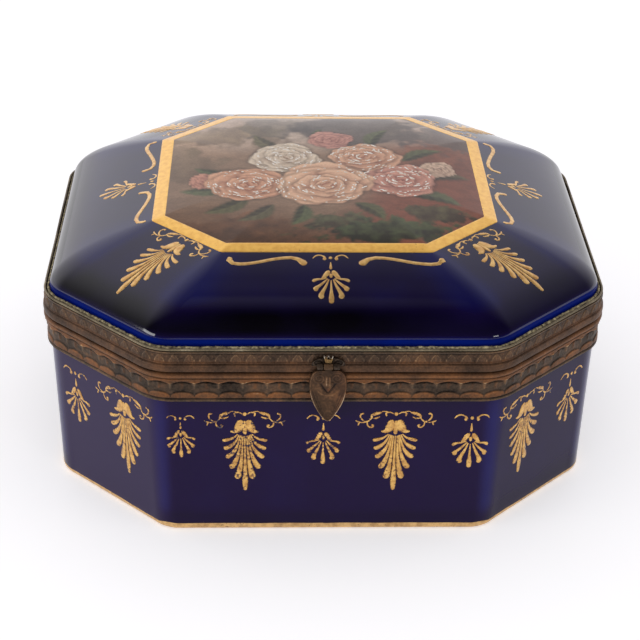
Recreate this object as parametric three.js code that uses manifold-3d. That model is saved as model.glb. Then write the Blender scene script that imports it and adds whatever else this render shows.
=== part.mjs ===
// Porcelain casket with a hinged lid, in millimetres: +Z up, +X along its width, its front facing -Y.
// The origin is on the table, under the middle of the casket.
import * as THREE from "three";
import { mergeVertices } from "three/addons/utils/BufferGeometryUtils.js";
import Module from "manifold-3d";

const wasm = await Module();
wasm.setup();

// Porcelain body, measured under its mount
const BODY_WIDTH = 215.6;
const BODY_DEPTH = 189.0;
const CORNER_CUT = 43.7; // length of the front wall given up to each slanted wall
const CORNER_ANGLE = 42.7; // degrees between the front wall and a slanted wall
const CORNER_RADIUS = 16;
const WALL = 4.5;
const FLOOR = 5;
const WALL_LEAN = 1.1; // how far the straight walls come in at the foot
const SLANT_LEAN = 2.4; // how far the slanted walls come in at the foot
const FOOT_EDGE = 1.8;
const FOOT_WIDTH = 6;
const FOOT_RECESS = 1.2;
const FLOOR_FILLET = 4;
const LIP_ROUND = 0.8; // rounding of the porcelain's upper edge

// Lid
const LID_INSET = 0.9; // how much smaller than the body the lid is, all round
const LID_WALL = 5;
const SHOULDER_RISE = 6.5; // upright part of the lid, from its lower edge to the start of the dome
const DOME_RISE = 22;
const DOME_POWER = 0.47; // 0.5 is a parabola that starts upright at the shoulder
const CROWN = 3.4; // rise of the painted panel, most of it close to the panel's edge
const CROWN_POWER = 5;
const PANEL_WIDTH = 134.8; // painted panel, over its gilt border
const PANEL_DEPTH = 125.4;
const PANEL_CUT = 27.4;
const PANEL_CORNER_RADIUS = 2;

// Joint between the two rims
const JOINT_HEIGHT = 74.5;
const JOINT_GAP = 0.4;

// Metal mounts
const MOUNT_REACH = 2.2; // how far the mounts stand out from the body
const MOUNT_CORNER_EASE = 0.8; // how much rounder the mounts take the corners
const RIM_THICKNESS = 2.3;
const LIP_THICKNESS = 0.8;
const LIP_LENGTH = 4;
const BEDDING_THICKNESS = 1.0;
const FIT = 0.3; // gap between pieces that are soldered or bedded together
const WALL_FIT = 0.5; // gap between the metal and the porcelain walls

const GALLERY_HEIGHT = 9.9;
const GALLERY_INNER = 1.8; // depths behind the widest line of the mount
const GALLERY_GROUND = 1.2;
const GALLERY_ARCH = 0.55;
const GALLERY_LOBE = 0.7;
const GALLERY_FOOT = 0.8;
const GALLERY_PITCH = 9.0;
const ARCH_DROP = 1.4; // from the top of the band to the middle of an arch's edge
const ARCH_SWING = 0.5;
const LOBE_RISE = 3.2; // from the foot of the band to the middle of a lobe's edge
const LOBE_SWING = 1.0;
const RELIEF_STEP = 0.28;

const MOULDING_HEIGHT = 3.3;
const MOULDING_EDGE = 0.4;
const LEAF_BAND_HEIGHT = 5.1;
const LEAF_BAND_INNER = 1.5;
const LEAF_GROUND = 0.9;
const LEAF_RIB = 0.3;
const LEAF_EDGE = 0.55;
const LEAF_PITCH = 5.7;
const LEAF_TIP_HEIGHT = 3.7;
const LEAF_NOTCH_HEIGHT = 1.0;
const WIRE_RADIUS = 0.45;
const WIRE_SIDES = 6;
const BEDDING_FILLET = 0.9;

// Hinge at the back
const HINGE_LENGTH = 70;
const HINGE_KNUCKLES = 5;
const KNUCKLE_RADIUS = 1.6;
const HINGE_INSET = 0.75; // axis in front of the mounts' widest line
const HINGE_PIN_RADIUS = 0.8;
const PIN_RUNNING_GAP = 0.05;
const KNUCKLE_GAP = 0.3;

// Hasp at the front
const HASP_PIVOT_ABOVE_JOINT = 4.1;
const HASP_PIVOT_REACH = 1.5; // axis in front of the mounts' widest line
const HASP_KNUCKLE_RADIUS = 1.2;
const HASP_KNUCKLE_LENGTH = 3.4;
const HASP_EAR_LENGTH = 2.2;
const HASP_PIN_RADIUS = 0.6;
const LEAF_LENGTH = 23.7; // from the axis to the tip
const LEAF_HALF_WIDTH = 7;
const LEAF_WIDEST = 9; // below the axis
const LEAF_THICKNESS = 1.1;
const LEAF_BEVEL = 0.25;
const SCROLL_RADIUS = 2.2;
const SCROLL_PLACE = new THREE.Vector2(3.3, -4.4);
const RELIEF_HEIGHT = 0.35;
const HEART_HALF_WIDTH = 2.6;
const HEART_TOP = -6.2;
const HEART_TIP = -10.3;
const PLATE_THICKNESS = 0.6;
const PLATE_HALF_WIDTH = 6;
const PLATE_WING_TOP = 2.3;
const CROWN_TOP = 4.1;
const CROWN_HALF_WIDTH = 1.8;
const CROWN_RELIEF = 0.8;
const PIERCING_RADIUS = 0.5;
const PIERCING_PLACE = 5.0;
const STUD_RADIUS = 1.4;
const STUD_BELOW_JOINT = 8.5;

const ARC_STEPS = 4; // facets in each rounded corner of the plan
const ROUND_STEPS = 12;
const DOME_STEPS = 7;
const DOME_INNER_STEPS = 4;

const radians = THREE.MathUtils.degToRad;
const lerp = THREE.MathUtils.lerp;

// Eight-sided plan with rounded corners, given by the distances of its walls from the centre.
class Outline {
  constructor(halfWidth, halfDepth, slantReach, radius) {
    Object.assign(this, { halfWidth, halfDepth, slantReach, radius });
  }

  static fromCut(width, depth, cut, radius) {
    const angle = radians(CORNER_ANGLE);
    const slantReach = Math.sin(angle) * (width / 2 - cut) + (Math.cos(angle) * depth) / 2;
    return new Outline(width / 2, depth / 2, slantReach, radius);
  }

  grow(by, slantBy = by) {
    return new Outline(this.halfWidth + by, this.halfDepth + by, this.slantReach + slantBy, this.radius + by);
  }

  easeCorners(by) {
    return new Outline(this.halfWidth, this.halfDepth, this.slantReach, this.radius + by);
  }

  scale(by) {
    return new Outline(this.halfWidth * by, this.halfDepth * by, this.slantReach * by, this.radius * by);
  }

  mix(other, share) {
    return new Outline(
      lerp(this.halfWidth, other.halfWidth, share),
      lerp(this.halfDepth, other.halfDepth, share),
      lerp(this.slantReach, other.slantReach, share),
      lerp(this.radius, other.radius, share),
    );
  }

  // The eight walls, anticlockwise from the front: the angle that each faces and its distance from the centre.
  walls() {
    const slant = Math.PI / 2 - radians(CORNER_ANGLE);
    const quarter = Math.PI / 2;
    return [
      [-quarter, this.halfDepth],
      [-slant, this.slantReach],
      [0, this.halfWidth],
      [slant, this.slantReach],
      [quarter, this.halfDepth],
      [2 * quarter - slant, this.slantReach],
      [2 * quarter, this.halfWidth],
      [2 * quarter + slant, this.slantReach],
    ].map(([angle, distance]) => ({ angle, distance }));
  }

  // The rounded corners, each between two walls: the arc's centre and its first and last angle.
  corners() {
    const walls = this.walls();
    return walls.map((first, i) => {
      const next = walls[(i + 1) % walls.length];
      const end = next.angle < first.angle ? next.angle + 2 * Math.PI : next.angle;
      const a = first.distance - this.radius;
      const b = next.distance - this.radius;
      const cross = Math.sin(end - first.angle);
      const x = (a * Math.sin(end) - b * Math.sin(first.angle)) / cross;
      const y = (b * Math.cos(first.angle) - a * Math.cos(end)) / cross;
      return { x, y, start: first.angle, end };
    });
  }

  // One ring of points at a height, with the same count and the same facing on every outline.
  ring(height) {
    return this.corners().flatMap(({ x, y, start, end }) =>
      Array.from({ length: ARC_STEPS + 1 }, (_, i) => {
        const angle = lerp(start, end, i / ARC_STEPS);
        return new THREE.Vector3(x + this.radius * Math.cos(angle), y + this.radius * Math.sin(angle), height);
      }),
    );
  }

  // The outline as a path that starts and ends in the middle of the front.
  path() {
    const path = new THREE.Path();
    path.moveTo(0, -this.halfDepth);
    for (const { x, y, start, end } of this.corners()) {
      path.lineTo(x + this.radius * Math.cos(start), y + this.radius * Math.sin(start));
      path.absarc(x, y, this.radius, start, end, false);
    }
    path.lineTo(0, -this.halfDepth);
    return path;
  }
}

// Skins a list of rings. With no centres the last ring joins the first, and otherwise each end closes on its centre.
// Rings follow the section anticlockwise, seen with the outside on the right.
function loft(rings, centres = null) {
  const count = rings[0].length;
  const positions = rings.flat().flatMap((p) => [p.x, p.y, p.z]);
  const index = [];
  const quad = (a, b, c, d) => index.push(a, b, c, a, c, d);
  const joins = centres ? rings.length - 1 : rings.length;
  for (let r = 0; r < joins; r++) {
    const low = r * count;
    const high = ((r + 1) % rings.length) * count;
    for (let i = 0; i < count; i++) {
      const j = (i + 1) % count;
      quad(low + i, low + j, high + j, high + i);
    }
  }
  if (centres) {
    const first = positions.length / 3;
    positions.push(0, 0, centres[0], 0, 0, centres[1]);
    const top = (rings.length - 1) * count;
    for (let i = 0; i < count; i++) {
      const j = (i + 1) % count;
      index.push(first, j, i, first + 1, top + i, top + j);
    }
  }
  return geometryOf(positions, index);
}

function geometryOf(positions, index) {
  const geometry = new THREE.BufferGeometry();
  geometry.setAttribute("position", new THREE.BufferAttribute(new Float32Array(positions), 3));
  geometry.setIndex(index);
  geometry.computeVertexNormals();
  return geometry;
}

// Carries a section round an outline: the section's points are depths inside the outline and heights.
function ringSolid(outline, section) {
  return loft(section.map(([depth, height]) => outline.grow(-depth).ring(height)));
}

// Carries a section that changes along the way, sampled evenly round an outline.
function patternedRing(outline, pitch, samplesPerRepeat, sectionAt) {
  const path = outline.path();
  const repeats = Math.round(path.getLength() / pitch);
  const samples = repeats * samplesPerRepeat;
  const stations = Array.from({ length: samples }, (_, i) => {
    const point = path.getPoint(i / samples);
    const tangent = path.getTangent(i / samples);
    const phase = (2 * Math.PI * i) / samplesPerRepeat;
    return sectionAt(phase).map(
      ([depth, height]) => new THREE.Vector3(point.x - tangent.y * depth, point.y + tangent.x * depth, height),
    );
  });
  return loft(stations[0].map((_, row) => stations.map((station) => station[row])));
}

function toSolid(geometry) {
  const bare = geometry.clone();
  bare.deleteAttribute("normal");
  bare.deleteAttribute("uv");
  const merged = mergeVertices(bare);
  return new wasm.Manifold(
    new wasm.Mesh({
      numProp: 3,
      vertProperties: merged.attributes.position.array,
      triVerts: new Uint32Array(merged.index.array),
    }),
  );
}

function fromSolid(solid) {
  const mesh = solid.getMesh();
  return geometryOf(Array.from(mesh.vertProperties), Array.from(mesh.triVerts));
}

function cut(geometry, ...tools) {
  return fromSolid(tools.reduce((solid, tool) => solid.subtract(toSolid(tool)), toSolid(geometry)));
}

function join(...geometries) {
  return fromSolid(geometries.map(toSolid).reduce((all, one) => all.add(one)));
}

// A cylinder lying along X.
function barAlongX(radius, length, x, y, z) {
  return new THREE.CylinderGeometry(radius, radius, length, ROUND_STEPS).rotateZ(Math.PI / 2).translate(x, y, z);
}

// A tube lying along X.
function tubeAlongX(radius, bore, length, x, y, z) {
  const half = length / 2;
  const section = [
    [bore, -half],
    [radius, -half],
    [radius, half],
    [bore, half],
    [bore, -half],
  ].map(([r, h]) => new THREE.Vector2(r, h));
  return new THREE.LatheGeometry(section, ROUND_STEPS).rotateZ(Math.PI / 2).translate(x, y, z);
}

// A flat piece that faces the front: its outline lies in X and Z, and it fills the depths from back to front.
function frontPlate(shape, back, front, bevel = 0, curveSegments = 6) {
  const depth = front - back - 2 * bevel;
  const options = { depth, curveSegments, bevelEnabled: bevel > 0, bevelThickness: bevel, bevelSize: bevel };
  const geometry = new THREE.ExtrudeGeometry(shape, { ...options, bevelOffset: -bevel, bevelSegments: 1 });
  return geometry.rotateX(Math.PI / 2).translate(0, -back - bevel, 0);
}

const bodyTop = JOINT_HEIGHT - JOINT_GAP / 2 - RIM_THICKNESS - 2 * FIT - BEDDING_THICKNESS;
const bodyPlan = Outline.fromCut(BODY_WIDTH, BODY_DEPTH, CORNER_CUT, CORNER_RADIUS);
const mountPlan = bodyPlan.grow(MOUNT_REACH).easeCorners(MOUNT_CORNER_EASE);
const lidPlan = bodyPlan.grow(-LID_INSET);
const panelPlan = Outline.fromCut(PANEL_WIDTH, PANEL_DEPTH, PANEL_CUT, PANEL_CORNER_RADIUS);

const baseRimTop = JOINT_HEIGHT - JOINT_GAP / 2;
const baseRimUnderside = baseRimTop - RIM_THICKNESS;
const lidRimBottom = JOINT_HEIGHT + JOINT_GAP / 2;
const lidRimTop = lidRimBottom + RIM_THICKNESS;
const mouldingTop = lidRimBottom + MOULDING_HEIGHT;
const leafBandBottom = mouldingTop + FIT;
const leafBandTop = leafBandBottom + LEAF_BAND_HEIGHT;
const wireCentre = leafBandTop + FIT + WIRE_RADIUS;
const lidBottom = lidRimTop + 2 * FIT + BEDDING_THICKNESS;
const shoulder = lidBottom + SHOULDER_RISE;
const hingeY = mountPlan.halfDepth - HINGE_INSET;
const haspY = -(mountPlan.halfDepth + HASP_PIVOT_REACH);
const haspZ = JOINT_HEIGHT + HASP_PIVOT_ABOVE_JOINT;

// Plan of the body's outside at a height, leaning in towards the foot.
function bodyPlanAt(height) {
  const share = 1 - height / bodyTop;
  return bodyPlan.grow(-WALL_LEAN * share, -SLANT_LEAN * share);
}

function porcelainBody() {
  const round = 1 - Math.SQRT1_2;
  const foot = bodyPlanAt(0);
  const inside = (height) => bodyPlanAt(height).grow(-WALL);
  const rings = [
    foot.grow(-FOOT_WIDTH - FOOT_RECESS).ring(FOOT_RECESS),
    foot.grow(-FOOT_WIDTH).ring(0),
    foot.grow(-FOOT_EDGE).ring(0),
    foot.grow(-FOOT_EDGE * round).ring(FOOT_EDGE * round),
    bodyPlanAt(FOOT_EDGE).ring(FOOT_EDGE),
    bodyPlanAt(bodyTop - LIP_ROUND).ring(bodyTop - LIP_ROUND),
    bodyPlan.grow(-LIP_ROUND).ring(bodyTop),
    inside(bodyTop).ring(bodyTop),
    inside(FLOOR + FLOOR_FILLET).ring(FLOOR + FLOOR_FILLET),
    inside(FLOOR).grow(-FLOOR_FILLET * round).ring(FLOOR + FLOOR_FILLET * round),
    inside(FLOOR).grow(-FLOOR_FILLET).ring(FLOOR),
  ];
  return loft(rings, [FOOT_RECESS, FLOOR]);
}

// Rings of a dome from its shoulder up to the painted panel, evenly spaced in height.
function domeRings(shoulderPlan, topPlan, shoulderHeight, steps) {
  return Array.from({ length: steps + 1 }, (_, i) => {
    const share = (i / steps) ** 2;
    return shoulderPlan.mix(topPlan, share).ring(shoulderHeight + DOME_RISE * share ** DOME_POWER);
  });
}

// Rings of the cushioned panel, from near its edge to near its middle.
function crownRings(plan, edgeHeight, shares) {
  return shares.map((share) => plan.scale(share).ring(edgeHeight + CROWN * (1 - share ** CROWN_POWER)));
}

function porcelainLid() {
  const innerPlan = lidPlan.grow(-WALL);
  const panelTop = shoulder + DOME_RISE;
  const innerPanel = panelPlan.scale(innerPlan.halfWidth / lidPlan.halfWidth);
  const inner = domeRings(innerPlan, innerPanel, shoulder - LID_WALL, DOME_INNER_STEPS);
  const rings = [
    ...crownRings(innerPanel, panelTop - LID_WALL, [0.7]),
    ...inner.reverse(),
    innerPlan.ring(lidBottom),
    lidPlan.grow(-LIP_ROUND).ring(lidBottom),
    lidPlan.ring(lidBottom + LIP_ROUND),
    ...domeRings(lidPlan, panelPlan, shoulder, DOME_STEPS),
    ...crownRings(panelPlan, panelTop, [0.92, 0.75]),
  ];
  return loft(rings, [panelTop - LID_WALL + CROWN, panelTop + CROWN]);
}

// The groove in which the hinge lies, cut into both rims.
function hingeGroove() {
  return barAlongX(KNUCKLE_RADIUS + FIT, HINGE_LENGTH + 2 * FIT, 0, hingeY, JOINT_HEIGHT);
}

// Flat bar with a half-round outer edge, and a lip that hangs inside the wall.
function baseRim() {
  const round = RIM_THICKNESS / 2;
  const centre = baseRimUnderside + round;
  const edge = Array.from({ length: 5 }, (_, i) => lerp(-Math.PI / 2, Math.PI / 2, i / 4));
  const lipOuter = MOUNT_REACH + WALL + WALL_FIT;
  const lipInner = lipOuter + LIP_THICKNESS;
  const section = [
    [lipInner, baseRimUnderside - LIP_LENGTH],
    [lipOuter, baseRimUnderside - LIP_LENGTH],
    [lipOuter, baseRimUnderside],
    ...edge.map((angle) => [round - round * Math.cos(angle), centre + round * Math.sin(angle)]),
    [lipInner, baseRimTop],
  ];
  return cut(ringSolid(mountPlan, section), hingeGroove());
}

// Stamped band: arches under the rim, a sunk ground, and a row of rounded lobes along the foot.
function baseGalleryBand() {
  const top = baseRimUnderside - FIT;
  const foot = top - GALLERY_HEIGHT;
  return patternedRing(mountPlan, GALLERY_PITCH, 4, (phase) => {
    const arch = top - ARCH_DROP + ARCH_SWING * Math.cos(phase);
    const lobe = foot + LOBE_RISE + LOBE_SWING * Math.cos(phase);
    return [
      [GALLERY_INNER, foot],
      [GALLERY_FOOT, foot],
      [GALLERY_LOBE, lobe],
      [GALLERY_GROUND, lobe + RELIEF_STEP],
      [GALLERY_GROUND, arch - RELIEF_STEP],
      [GALLERY_ARCH, arch],
      [GALLERY_ARCH, top],
      [GALLERY_INNER, top],
    ];
  });
}

// Plaster between the rim and the top of the wall.
function baseBedding() {
  const outer = GALLERY_INNER + FIT;
  const inner = MOUNT_REACH + WALL;
  const low = bodyTop + FIT;
  const high = low + BEDDING_THICKNESS;
  return ringSolid(mountPlan, [
    [inner, low],
    [outer, low],
    [outer, high],
    [inner, high],
  ]);
}

// Flat bar with a plain moulding along its outer edge, and a lip that stands inside the lid's wall.
function lidRim() {
  const round = RIM_THICKNESS / 2;
  const edge = Array.from({ length: 3 }, (_, i) => lerp(-Math.PI / 2, 0, i / 2));
  const lipOuter = MOUNT_REACH + LID_INSET + WALL + WALL_FIT;
  const lipInner = lipOuter + LIP_THICKNESS;
  const section = [
    [lipInner, lidRimBottom],
    ...edge.map((angle) => [round - round * Math.cos(angle), lidRimBottom + round + round * Math.sin(angle)]),
    [0, mouldingTop - MOULDING_EDGE],
    [MOULDING_EDGE, mouldingTop],
    [LEAF_BAND_INNER, mouldingTop],
    [LEAF_BAND_INNER, lidRimTop],
    [lipOuter, lidRimTop],
    [lipOuter, lidRimTop + LIP_LENGTH],
    [lipInner, lidRimTop + LIP_LENGTH],
  ];
  return cut(ringSolid(mountPlan, section), hingeGroove());
}

// Stamped band of pointed upright leaves.
function lidLeafBand() {
  return patternedRing(mountPlan, LEAF_PITCH, 2, (phase) => {
    const share = (1 + Math.cos(phase)) / 2;
    const face = lerp(LEAF_EDGE, LEAF_RIB, share);
    const tip = leafBandBottom + lerp(LEAF_NOTCH_HEIGHT, LEAF_TIP_HEIGHT, share);
    return [
      [LEAF_BAND_INNER, leafBandBottom],
      [face, leafBandBottom],
      [face, tip],
      [LEAF_GROUND, tip + RELIEF_STEP],
      [LEAF_GROUND, leafBandTop],
      [LEAF_BAND_INNER, leafBandTop],
    ];
  });
}

// Thin wire soldered along the top of the leaf band.
function lidEdgeWire() {
  const centre = (LEAF_GROUND + LEAF_BAND_INNER) / 2;
  const section = Array.from({ length: WIRE_SIDES }, (_, i) => {
    const angle = (2 * Math.PI * i) / WIRE_SIDES;
    return [centre - WIRE_RADIUS * Math.cos(angle), wireCentre + WIRE_RADIUS * Math.sin(angle)];
  });
  return ringSolid(mountPlan, section);
}

// Plaster under the lid's edge and up its outside, finished with a fillet that shows above the wire.
function lidBedding() {
  const outer = Math.max(LEAF_BAND_INNER, (LEAF_GROUND + LEAF_BAND_INNER) / 2 + WIRE_RADIUS) + FIT;
  const against = MOUNT_REACH + LID_INSET - FIT;
  const inner = MOUNT_REACH + LID_INSET + WALL;
  const low = lidRimTop + FIT;
  const high = wireCentre + WIRE_RADIUS;
  return ringSolid(mountPlan, [
    [inner, low],
    [outer, low],
    [outer, high - FIT],
    [against, high - FIT + BEDDING_FILLET],
    [against, lidBottom - FIT],
    [inner, lidBottom - FIT],
  ]);
}

const knuckleLength = (HINGE_LENGTH - (HINGE_KNUCKLES - 1) * KNUCKLE_GAP) / HINGE_KNUCKLES;
const knuckleBore = HINGE_PIN_RADIUS + PIN_RUNNING_GAP;

function hingeKnuckle(i) {
  const x = (i - (HINGE_KNUCKLES - 1) / 2) * (knuckleLength + KNUCKLE_GAP);
  return tubeAlongX(KNUCKLE_RADIUS, knuckleBore, knuckleLength, x, hingeY, JOINT_HEIGHT);
}

function hingePin() {
  return barAlongX(HINGE_PIN_RADIUS, HINGE_LENGTH, 0, hingeY, JOINT_HEIGHT);
}

const haspBore = HASP_PIN_RADIUS + PIN_RUNNING_GAP;
const earCentre = HASP_KNUCKLE_LENGTH / 2 + KNUCKLE_GAP + HASP_EAR_LENGTH / 2;

// Pieces of the hasp are shaped round its axis, and then moved to it.
function toHasp(geometry) {
  return geometry.translate(0, haspY, haspZ);
}

function haspBoreTool() {
  return barAlongX(haspBore, 2 * PLATE_HALF_WIDTH, 0, 0, 0);
}

// Leaf-shaped outline that hangs from the axis, with a tongue up to the knuckle.
function leafShape() {
  const top = -(HASP_KNUCKLE_RADIUS + FIT);
  const tongue = HASP_KNUCKLE_LENGTH / 2;
  const fullness = 0.72;
  const shape = new THREE.Shape();
  shape.moveTo(-tongue, 0);
  shape.lineTo(-tongue, top);
  shape.lineTo(-earCentre, top);
  shape.bezierCurveTo(-LEAF_HALF_WIDTH, top, -LEAF_HALF_WIDTH, -LEAF_WIDEST / 2, -LEAF_HALF_WIDTH, -LEAF_WIDEST);
  const low = lerp(-LEAF_WIDEST, -LEAF_LENGTH, 0.35);
  const lower = lerp(-LEAF_WIDEST, -LEAF_LENGTH, fullness);
  shape.bezierCurveTo(-LEAF_HALF_WIDTH, low, -LEAF_HALF_WIDTH / 2, lower, 0, -LEAF_LENGTH);
  shape.bezierCurveTo(LEAF_HALF_WIDTH / 2, lower, LEAF_HALF_WIDTH, low, LEAF_HALF_WIDTH, -LEAF_WIDEST);
  shape.bezierCurveTo(LEAF_HALF_WIDTH, -LEAF_WIDEST / 2, LEAF_HALF_WIDTH, top, earCentre, top);
  shape.lineTo(tongue, top);
  shape.lineTo(tongue, 0);
  shape.closePath();
  return shape;
}

// Small pointed leaf in relief between the two scrolls.
function heartShape() {
  const shape = new THREE.Shape();
  const notch = lerp(HEART_TOP, HEART_TIP, 0.3);
  shape.moveTo(0, HEART_TIP);
  shape.quadraticCurveTo(HEART_HALF_WIDTH, notch, HEART_HALF_WIDTH, HEART_TOP);
  shape.lineTo(0, notch);
  shape.lineTo(-HEART_HALF_WIDTH, HEART_TOP);
  shape.quadraticCurveTo(-HEART_HALF_WIDTH, notch, 0, HEART_TIP);
  return shape;
}

function haspLeaf() {
  const half = LEAF_THICKNESS / 2;
  const plate = frontPlate(leafShape(), -half, half, LEAF_BEVEL);
  const relief = half + RELIEF_HEIGHT;
  const heart = frontPlate(heartShape(), 0, relief);
  const scrolls = [-1, 1].map((side) =>
    new THREE.CylinderGeometry(SCROLL_RADIUS, SCROLL_RADIUS - RELIEF_HEIGHT, relief, ROUND_STEPS).translate(
      side * SCROLL_PLACE.x,
      -relief / 2,
      SCROLL_PLACE.y,
    ),
  );
  const knuckle = barAlongX(HASP_KNUCKLE_RADIUS, HASP_KNUCKLE_LENGTH, 0, 0, 0);
  return toHasp(cut(join(plate, heart, ...scrolls, knuckle), haspBoreTool()));
}

// Pierced plate with a small crown, whose two ears hold the pin.
function haspPlate() {
  const back = FIT - LEAF_RIB - HASP_PIVOT_REACH;
  const front = back + PLATE_THICKNESS;
  const foot = leafBandBottom - haspZ;
  const slot = HASP_KNUCKLE_LENGTH / 2 + KNUCKLE_GAP;
  const slotTop = HASP_KNUCKLE_RADIUS + FIT;
  const shape = new THREE.Shape();
  shape.moveTo(-PLATE_HALF_WIDTH, foot);
  shape.lineTo(-slot, foot);
  shape.lineTo(-slot, slotTop);
  shape.lineTo(slot, slotTop);
  shape.lineTo(slot, foot);
  shape.lineTo(PLATE_HALF_WIDTH, foot);
  shape.quadraticCurveTo(PLATE_HALF_WIDTH, PLATE_WING_TOP, CROWN_HALF_WIDTH, PLATE_WING_TOP);
  shape.lineTo(CROWN_HALF_WIDTH, CROWN_TOP);
  shape.lineTo(-CROWN_HALF_WIDTH, CROWN_TOP);
  shape.lineTo(-CROWN_HALF_WIDTH, PLATE_WING_TOP);
  shape.quadraticCurveTo(-PLATE_HALF_WIDTH, PLATE_WING_TOP, -PLATE_HALF_WIDTH, foot);
  for (const side of [-1, 1]) {
    const piercing = new THREE.Path();
    piercing.absarc(side * PIERCING_PLACE, PIERCING_RADIUS, PIERCING_RADIUS, 0, 2 * Math.PI, true);
    shape.holes.push(piercing);
  }
  const ears = [-1, 1].map((side) => barAlongX(HASP_KNUCKLE_RADIUS, HASP_EAR_LENGTH, side * earCentre, 0, 0));
  const plate = frontPlate(shape, back, front, 0, 4);
  const crown = frontPlate(crownShape(), back, front + CROWN_RELIEF);
  return toHasp(cut(join(plate, crown, ...ears), haspBoreTool()));
}

// Three-pointed crown in relief at the top of the plate.
function crownShape() {
  const foot = HASP_KNUCKLE_RADIUS + FIT;
  const valley = lerp(foot, CROWN_TOP, 0.45);
  const shape = new THREE.Shape();
  shape.moveTo(-CROWN_HALF_WIDTH * 0.7, foot);
  shape.lineTo(CROWN_HALF_WIDTH * 0.7, foot);
  shape.lineTo(CROWN_HALF_WIDTH, CROWN_TOP);
  shape.lineTo(CROWN_HALF_WIDTH / 2, valley);
  shape.lineTo(0, CROWN_TOP);
  shape.lineTo(-CROWN_HALF_WIDTH / 2, valley);
  shape.lineTo(-CROWN_HALF_WIDTH, CROWN_TOP);
  return shape;
}

function haspPin() {
  return toHasp(barAlongX(HASP_PIN_RADIUS, 2 * earCentre + HASP_EAR_LENGTH, 0, 0, 0));
}

// Round-headed stud on the base band, over which the leaf closes.
function catchStud() {
  const back = -GALLERY_ARCH + FIT / 2;
  const reach = HASP_PIVOT_REACH - LEAF_THICKNESS / 2 - FIT;
  const section = [
    [0, back],
    [STUD_RADIUS, back],
    [STUD_RADIUS, lerp(back, reach, 0.5)],
    [STUD_RADIUS * 0.6, lerp(back, reach, 0.9)],
    [0, reach],
  ].map(([r, h]) => new THREE.Vector2(r, h));
  const geometry = new THREE.LatheGeometry(section, ROUND_STEPS).rotateX(Math.PI);
  return geometry.translate(0, -mountPlan.halfDepth, JOINT_HEIGHT - STUD_BELOW_JOINT);
}

const FINISHES = {
  porcelain: { color: 0x1d1a4d, roughness: 0.12, metalness: 0 },
  mount: { color: 0x6b4a2c, roughness: 0.5, metalness: 0.85 },
  brightMount: { color: 0x9a7a48, roughness: 0.4, metalness: 0.9 },
  plaster: { color: 0x8a8266, roughness: 0.9, metalness: 0 },
  steel: { color: 0x8c8a84, roughness: 0.4, metalness: 0.9 },
};

function mesh(name, geometry, finish) {
  const made = new THREE.Mesh(geometry, new THREE.MeshStandardMaterial(FINISHES[finish]));
  made.name = name;
  return made;
}

const base = new THREE.Group();
base.add(
  mesh("porcelain_body", porcelainBody(), "porcelain"),
  mesh("base_rim", baseRim(), "mount"),
  mesh("base_gallery_band", baseGalleryBand(), "mount"),
  mesh("base_bedding", baseBedding(), "plaster"),
  mesh("hinge_knuckle_base_left", hingeKnuckle(0), "mount"),
  mesh("hinge_knuckle_base_middle", hingeKnuckle(2), "mount"),
  mesh("hinge_knuckle_base_right", hingeKnuckle(4), "mount"),
  mesh("hinge_pin", hingePin(), "steel"),
  mesh("catch_stud", catchStud(), "brightMount"),
);

const hasp = new THREE.Group();
hasp.add(mesh("hasp_leaf", haspLeaf(), "mount"));

const lid = new THREE.Group();
lid.add(
  mesh("porcelain_lid", porcelainLid(), "porcelain"),
  mesh("lid_rim", lidRim(), "mount"),
  mesh("lid_leaf_band", lidLeafBand(), "mount"),
  mesh("lid_edge_wire", lidEdgeWire(), "brightMount"),
  mesh("lid_bedding", lidBedding(), "plaster"),
  mesh("hinge_knuckle_lid_left", hingeKnuckle(1), "mount"),
  mesh("hinge_knuckle_lid_right", hingeKnuckle(3), "mount"),
  mesh("hasp_plate", haspPlate(), "mount"),
  mesh("hasp_pin", haspPin(), "steel"),
  hasp,
);

const casket = new THREE.Group();
casket.add(base, lid);

export default casket;
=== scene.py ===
"""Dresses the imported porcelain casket: glaze, gilding, painted panel, stamped brass mounts, hasp, hinge and studio.

Sizes are in millimetres and become metres where a mesh is made. +X is the width, -Y the front and +Z up.
"""

import logging
from dataclasses import dataclass, replace
from enum import Enum, IntEnum
from typing import Any, Callable, Sequence

import bpy
import numpy as np
from mathutils import Matrix, Vector
from numpy.typing import NDArray


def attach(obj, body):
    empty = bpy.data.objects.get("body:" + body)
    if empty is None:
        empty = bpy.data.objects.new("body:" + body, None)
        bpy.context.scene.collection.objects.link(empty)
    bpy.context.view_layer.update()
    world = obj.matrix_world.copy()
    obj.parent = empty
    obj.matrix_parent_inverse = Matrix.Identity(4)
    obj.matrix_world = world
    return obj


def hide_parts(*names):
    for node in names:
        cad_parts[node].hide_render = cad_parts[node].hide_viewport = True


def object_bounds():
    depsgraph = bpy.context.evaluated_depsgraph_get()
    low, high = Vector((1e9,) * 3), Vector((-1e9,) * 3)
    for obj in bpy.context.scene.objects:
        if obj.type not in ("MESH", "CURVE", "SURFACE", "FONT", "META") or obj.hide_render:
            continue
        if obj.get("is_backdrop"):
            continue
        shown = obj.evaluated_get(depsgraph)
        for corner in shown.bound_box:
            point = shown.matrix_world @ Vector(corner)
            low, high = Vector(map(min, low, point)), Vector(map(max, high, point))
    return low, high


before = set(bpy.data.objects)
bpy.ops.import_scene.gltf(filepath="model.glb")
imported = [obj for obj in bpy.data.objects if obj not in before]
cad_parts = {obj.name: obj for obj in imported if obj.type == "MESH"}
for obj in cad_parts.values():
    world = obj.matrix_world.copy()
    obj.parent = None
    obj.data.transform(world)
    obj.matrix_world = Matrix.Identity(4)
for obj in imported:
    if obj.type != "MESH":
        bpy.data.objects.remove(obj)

Array = NDArray[np.float64]
Skin = tuple[Array, list[Array]]
Placer = Callable[[Array, Array, Array], Array]
Piece = bpy.types.Object
Tree = bpy.types.NodeTree
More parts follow.
